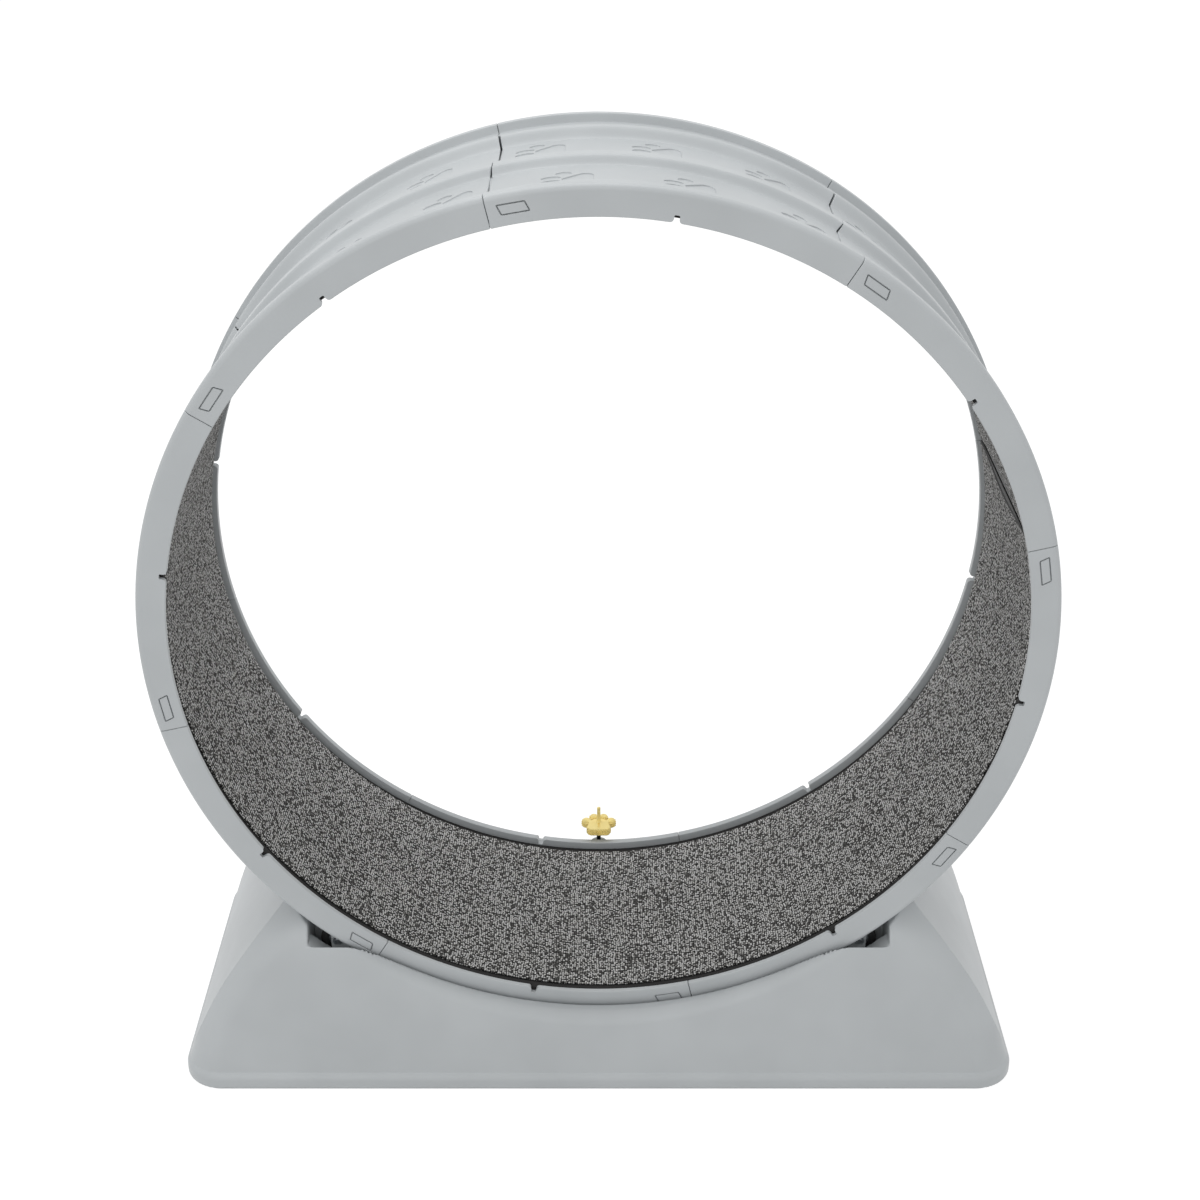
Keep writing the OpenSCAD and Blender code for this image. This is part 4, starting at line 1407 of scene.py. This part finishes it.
@dataclass
class PawKnob:
    """The yellow paw that turns the brake, with its finger post."""

    palette: Palette
    stem_y: float = 163.0
    low_z: float = 103.4
    thick: float = 10.0
    width: float = 41.0
    # From here to hub_r the values are shares of the paw's width
    toe_r: float = 0.128
    toes: tuple[tuple[float, float], ...] = ((-0.365, 0.12), (-0.142, 0.33), (0.142, 0.33), (0.365, 0.12))
    heel_x: float = 0.2
    heel_y: float = 0.278
    heel_r: float = 0.137
    pad_x: float = 0.3
    pad_top: float = 0.12
    hub_r: float = 0.2
    hub_fillet: float = 3.0
    pad_corner: float = 3.0
    heel_fillet: float = 4.0
    edge_r: float = 2.0
    toe_edge_r: float = 2.8
    toe_fillet: float = 1.92
    dome: float = 0.9
    groove_half_w: float = 0.8
    groove_l: float = 13.0
    groove_depth: float = 1.4
    groove_round: float = 0.4
    post_r: float = 2.05
    post_h: float = 20.0
    post_round: float = 0.8
    post_flare: float = 1.2
    post_flare_h: float = 1.0
    post_low_z: float = 2.0
    socket_r: float = 2.6
    socket_depth: float = 6.0
    knurl: float = 1.0
    knurl_pitch: float = 3.0
    knurl_in: float = 0.6
    # Grid step, and the share of the faces that thinning keeps
    grid: float = 0.4
    keep: float = 0.7

    def _knurled(self, x: np.ndarray, y: np.ndarray, z: np.ndarray, side: np.ndarray) -> np.ndarray:
        """Height of the crossed ribs round the paw's edge, which fade out at its flat sides.

        Args:
            x: Places from the stem, in millimetres.
            y: Places from the stem.
            z: Heights over the paw's underside.
            side: Signed distances to the slab between its flat sides.

        Returns:
            Heights in millimetres.
        """
        turns = 2 * math.pi / self.knurl_pitch
        rows, steep = np.sin(turns * z), 1.1
        bumps = np.where(np.abs(x) > np.abs(y) * steep, np.sin(turns * y) * rows, np.sin(turns * x) * rows)
        return self.knurl * bumps * np.clip(-side - self.knurl_in, 0, 1)

    def _post(self, out: np.ndarray, z: np.ndarray) -> np.ndarray:
        """Distance to the finger post, with a flare at its foot.

        Args:
            out: Distances from the stem, in millimetres.
            z: Heights over the paw's underside.

        Returns:
            Signed distances in millimetres.
        """
        half_h = (self.thick + self.post_h) / 2
        radius = self.post_r + self.post_flare * np.exp(-np.maximum(z - self.thick, 0) / self.post_flare_h)
        post = both(self.post_round, out - radius, np.abs(z - half_h) - half_h)
        return np.maximum(post, self.post_low_z - z)

    def _shape(self, at: np.ndarray) -> np.ndarray:
        """Distance to the whole knob.

        Args:
            at: Points (N, 3) in millimetres.

        Returns:
            Signed distances in millimetres.
        """
        x, y, z = at[:, 0], at[:, 1] - self.stem_y, at[:, 2] - self.low_z
        w, out = self.width, np.hypot(x, y)
        heel_r = self.heel_r * w
        heel = plate(x, y + self.heel_y * w, self.heel_x * w + heel_r, heel_r, heel_r - 0.01)
        low, high = -self.heel_y * w, self.pad_top * w
        pad = plate(x, y - (low + high) / 2, self.pad_x * w, (high - low) / 2, self.pad_corner)
        flat = either(self.heel_fillet, heel, pad)
        flat = either(self.hub_fillet, flat, out - self.hub_r * w)
        side = np.abs(z - self.thick / 2) - self.thick / 2
        ribs = self._knurled(x, y, z, side)
        shape = both(self.edge_r, flat + ribs, side)
        for toe_x, toe_y in self.toes:
            away = np.hypot(x - toe_x * w, y - toe_y * w)
            rise = self.dome * np.clip(1 - (away / (self.toe_r * w)) ** 2, 0, 1) * (z > self.thick / 2)
            toe = both(self.toe_edge_r, away - self.toe_r * w + ribs, side - rise)
            shape = either(self.toe_fillet, shape, toe)
        half_l = self.groove_l / 2
        groove = np.maximum(np.abs(x) - self.groove_half_w, np.abs(y + half_l) - half_l)
        shape = less(self.groove_round, shape, np.maximum(groove, self.thick - self.groove_depth - z))
        shape = np.minimum(shape, self._post(out, z))
        return np.maximum(shape, -np.maximum(out - self.socket_r, z - self.socket_depth))

    def build(self) -> list[bpy.types.Object]:
        """Builds the knob and ties it to the brake.

        Returns:
            The pieces.
        """
        margin = 1.0
        half = self.width / 2 + 1.5 * margin
        low = (-half, self.stem_y - half, self.low_z - margin)
        high = (half, self.stem_y + half, self.low_z + self.thick + self.post_h + margin)
        knob = SoftSolid("paw_brake_knob", self._shape, low, high, self.grid, self.keep).build()
        self.palette.dress(knob, PAW_ABS)
        tie(knob, "brake")
        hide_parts("paw_knob")
        return [knob]


@dataclass
class CarriedNodes:
    """The CAD pieces whose shape is right: each gets its real finish."""

    palette: Palette
    nodes: dict[str, bpy.types.Object]
    # The first word that is in a node's name gives its finish
    finishes: tuple[tuple[str, Finish], ...] = (
        ("screws", STEEL),
        ("clip", STEEL),
        ("bearings", STEEL),
        ("axle", STEEL),
        ("bushing", ACETAL),
        ("stem", BLACK_STEEL),
        ("tyre", RUBBER),
        ("feet", RUBBER),
        ("cam", RUBBER),
        ("hub", NYLON),
        ("bracket", SHELL_ABS),
        ("cover", SHELL_ABS),
    )

    def build(self) -> list[bpy.types.Object]:
        """Dresses every node that is still shown.

        Returns:
            The pieces.
        """
        shown = [piece for _, piece in sorted(self.nodes.items()) if not piece.hide_render]
        for piece in shown:
            finish = next(finish for word, finish in self.finishes if word in piece.name)
            self.palette.dress(piece, finish)
        return shown


@dataclass
class Studio:
    """Camera, plain pale floor and soft lights."""

    focal_px: float = 1974.0
    image_px: float = 1200.0
    pitch_deg: float = 26.069
    camera_at: tuple[float, float, float] = (1.5, -1857.7, 1399.3)
    sensor_mm: float = 36.0
    floor_size: float = 60000.0
    floor_white: float = 0.82
    floor_glow: float = 1.2
    floor_glow_share: float = 0.75
    surround: float = 0.72
    aim_z: float = 450.0
    # Place, power in watts and side of each lamp
    overhead: tuple[tuple[float, float, float], float, float] = ((-400.0, 400.0, 3400.0), 38.0, 2600.0)
    front: tuple[tuple[float, float, float], float, float] = ((-1000.0, -3200.0, 2000.0), 19.0, 2400.0)

    def camera(self) -> None:
        """Puts the camera where the photograph was taken from."""
        data = bpy.data.cameras.new("camera")
        data.sensor_width = self.sensor_mm
        data.lens = data.sensor_width * self.focal_px / self.image_px
        data.clip_end = 100.0
        camera = bpy.data.objects.new("camera", data)
        camera.location = Vector(self.camera_at) * MM
        camera.rotation_euler = (math.radians(90 - self.pitch_deg), 0.0, 0.0)
        bpy.context.scene.collection.objects.link(camera)
        bpy.context.scene.camera = camera

    def floor(self) -> None:
        """Lays a pale floor that keeps a faint shadow."""
        half = self.floor_size / 2
        corners = np.array([(-half, -half, 0), (half, -half, 0), (half, half, 0), (-half, half, 0)])
        floor = make_piece("floor", corners, [[0, 1, 2, 3]])
        material = bpy.data.materials.new("pale_floor_paint")
        material.use_nodes = True
        tree = material.node_tree
        tree.nodes.clear()
        paint = add_node(tree, "ShaderNodeBsdfDiffuse", {"Color": (self.floor_white,) * 3 + (1.0,)})
        glow = add_node(tree, "ShaderNodeEmission", {"Color": (1.0,) * 4, "Strength": self.floor_glow})
        seen = self._seen(tree)
        share = add_node(tree, "ShaderNodeMath", {0: seen, 1: self.floor_glow_share}, operation="MULTIPLY")
        parts = {0: share.outputs[0], 1: paint.outputs[0], 2: glow.outputs[0]}
        mix = add_node(tree, "ShaderNodeMixShader", parts)
        add_node(tree, "ShaderNodeOutputMaterial", {"Surface": mix.outputs[0]})
        floor.data.materials.append(material)

    @staticmethod
    def _seen(tree: bpy.types.NodeTree) -> bpy.types.NodeSocket:
        """Tells the rays that show a surface from those that light others by it.

        Args:
            tree: The node tree.

        Returns:
            One for camera, glossy and transmission rays, and else zero.
        """
        rays = add_node(tree, "ShaderNodeLightPath").outputs
        seen = rays["Is Camera Ray"]
        for kind in ("Is Glossy Ray", "Is Transmission Ray"):
            seen = add_node(tree, "ShaderNodeMath", {0: seen, 1: rays[kind]}, operation="MAXIMUM").outputs[0]
        return seen

    def world(self) -> None:
        """A white surround that lights the object a little less than it shows."""
        world = bpy.data.worlds.new("studio")
        bpy.context.scene.world = world
        world.use_nodes = True
        tree = world.node_tree
        tree.nodes.clear()
        lit, shown = (
            add_node(tree, "ShaderNodeBackground", {"Color": (1.0,) * 4, "Strength": strength})
            for strength in (self.surround, 1.0)
        )
        parts = {0: self._seen(tree), 1: lit.outputs[0], 2: shown.outputs[0]}
        mix = add_node(tree, "ShaderNodeMixShader", parts)
        add_node(tree, "ShaderNodeOutputWorld", {"Surface": mix.outputs[0]})

    def lamp(self, name: str, place: tuple[float, float, float], watts: float, size: float) -> None:
        """Hangs one soft square lamp that points at the wheel.

        Args:
            name: The lamp's name.
            place: Its place, in millimetres.
            watts: Its power.
            size: Its side, in millimetres.
        """
        data = bpy.data.lights.new(name, "AREA")
        data.energy, data.size = watts, size * MM
        data.shape = "SQUARE"
        lamp = bpy.data.objects.new(name, data)
        lamp.location = Vector(place) * MM
        aim = Vector((0.0, 0.0, self.aim_z)) - Vector(place)
        lamp.rotation_euler = aim.to_track_quat("-Z", "Y").to_euler()
        bpy.context.scene.collection.objects.link(lamp)

    def build(self) -> None:
        """Sets the whole studio up."""
        bpy.context.scene.view_settings.view_transform = "Standard"
        self.camera()
        self.floor()
        self.world()
        self.lamp("overhead", *self.overhead)
        self.lamp("front", *self.front)


def main() -> None:
    """Builds every sub-assembly in order."""
    logging.basicConfig(level=logging.INFO, format="%(message)s")
    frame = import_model()
    Studio().build()
    palette = Palette()
    made: list[bpy.types.Object] = []
    made += Wheel(palette).build()
    made += Mat(palette).build()
    made += Base(palette).build()
    made += PawKnob(palette).build()
    made += CarriedNodes(palette, frame["nodes"]).build()


if __name__ == "__main__":
    main()
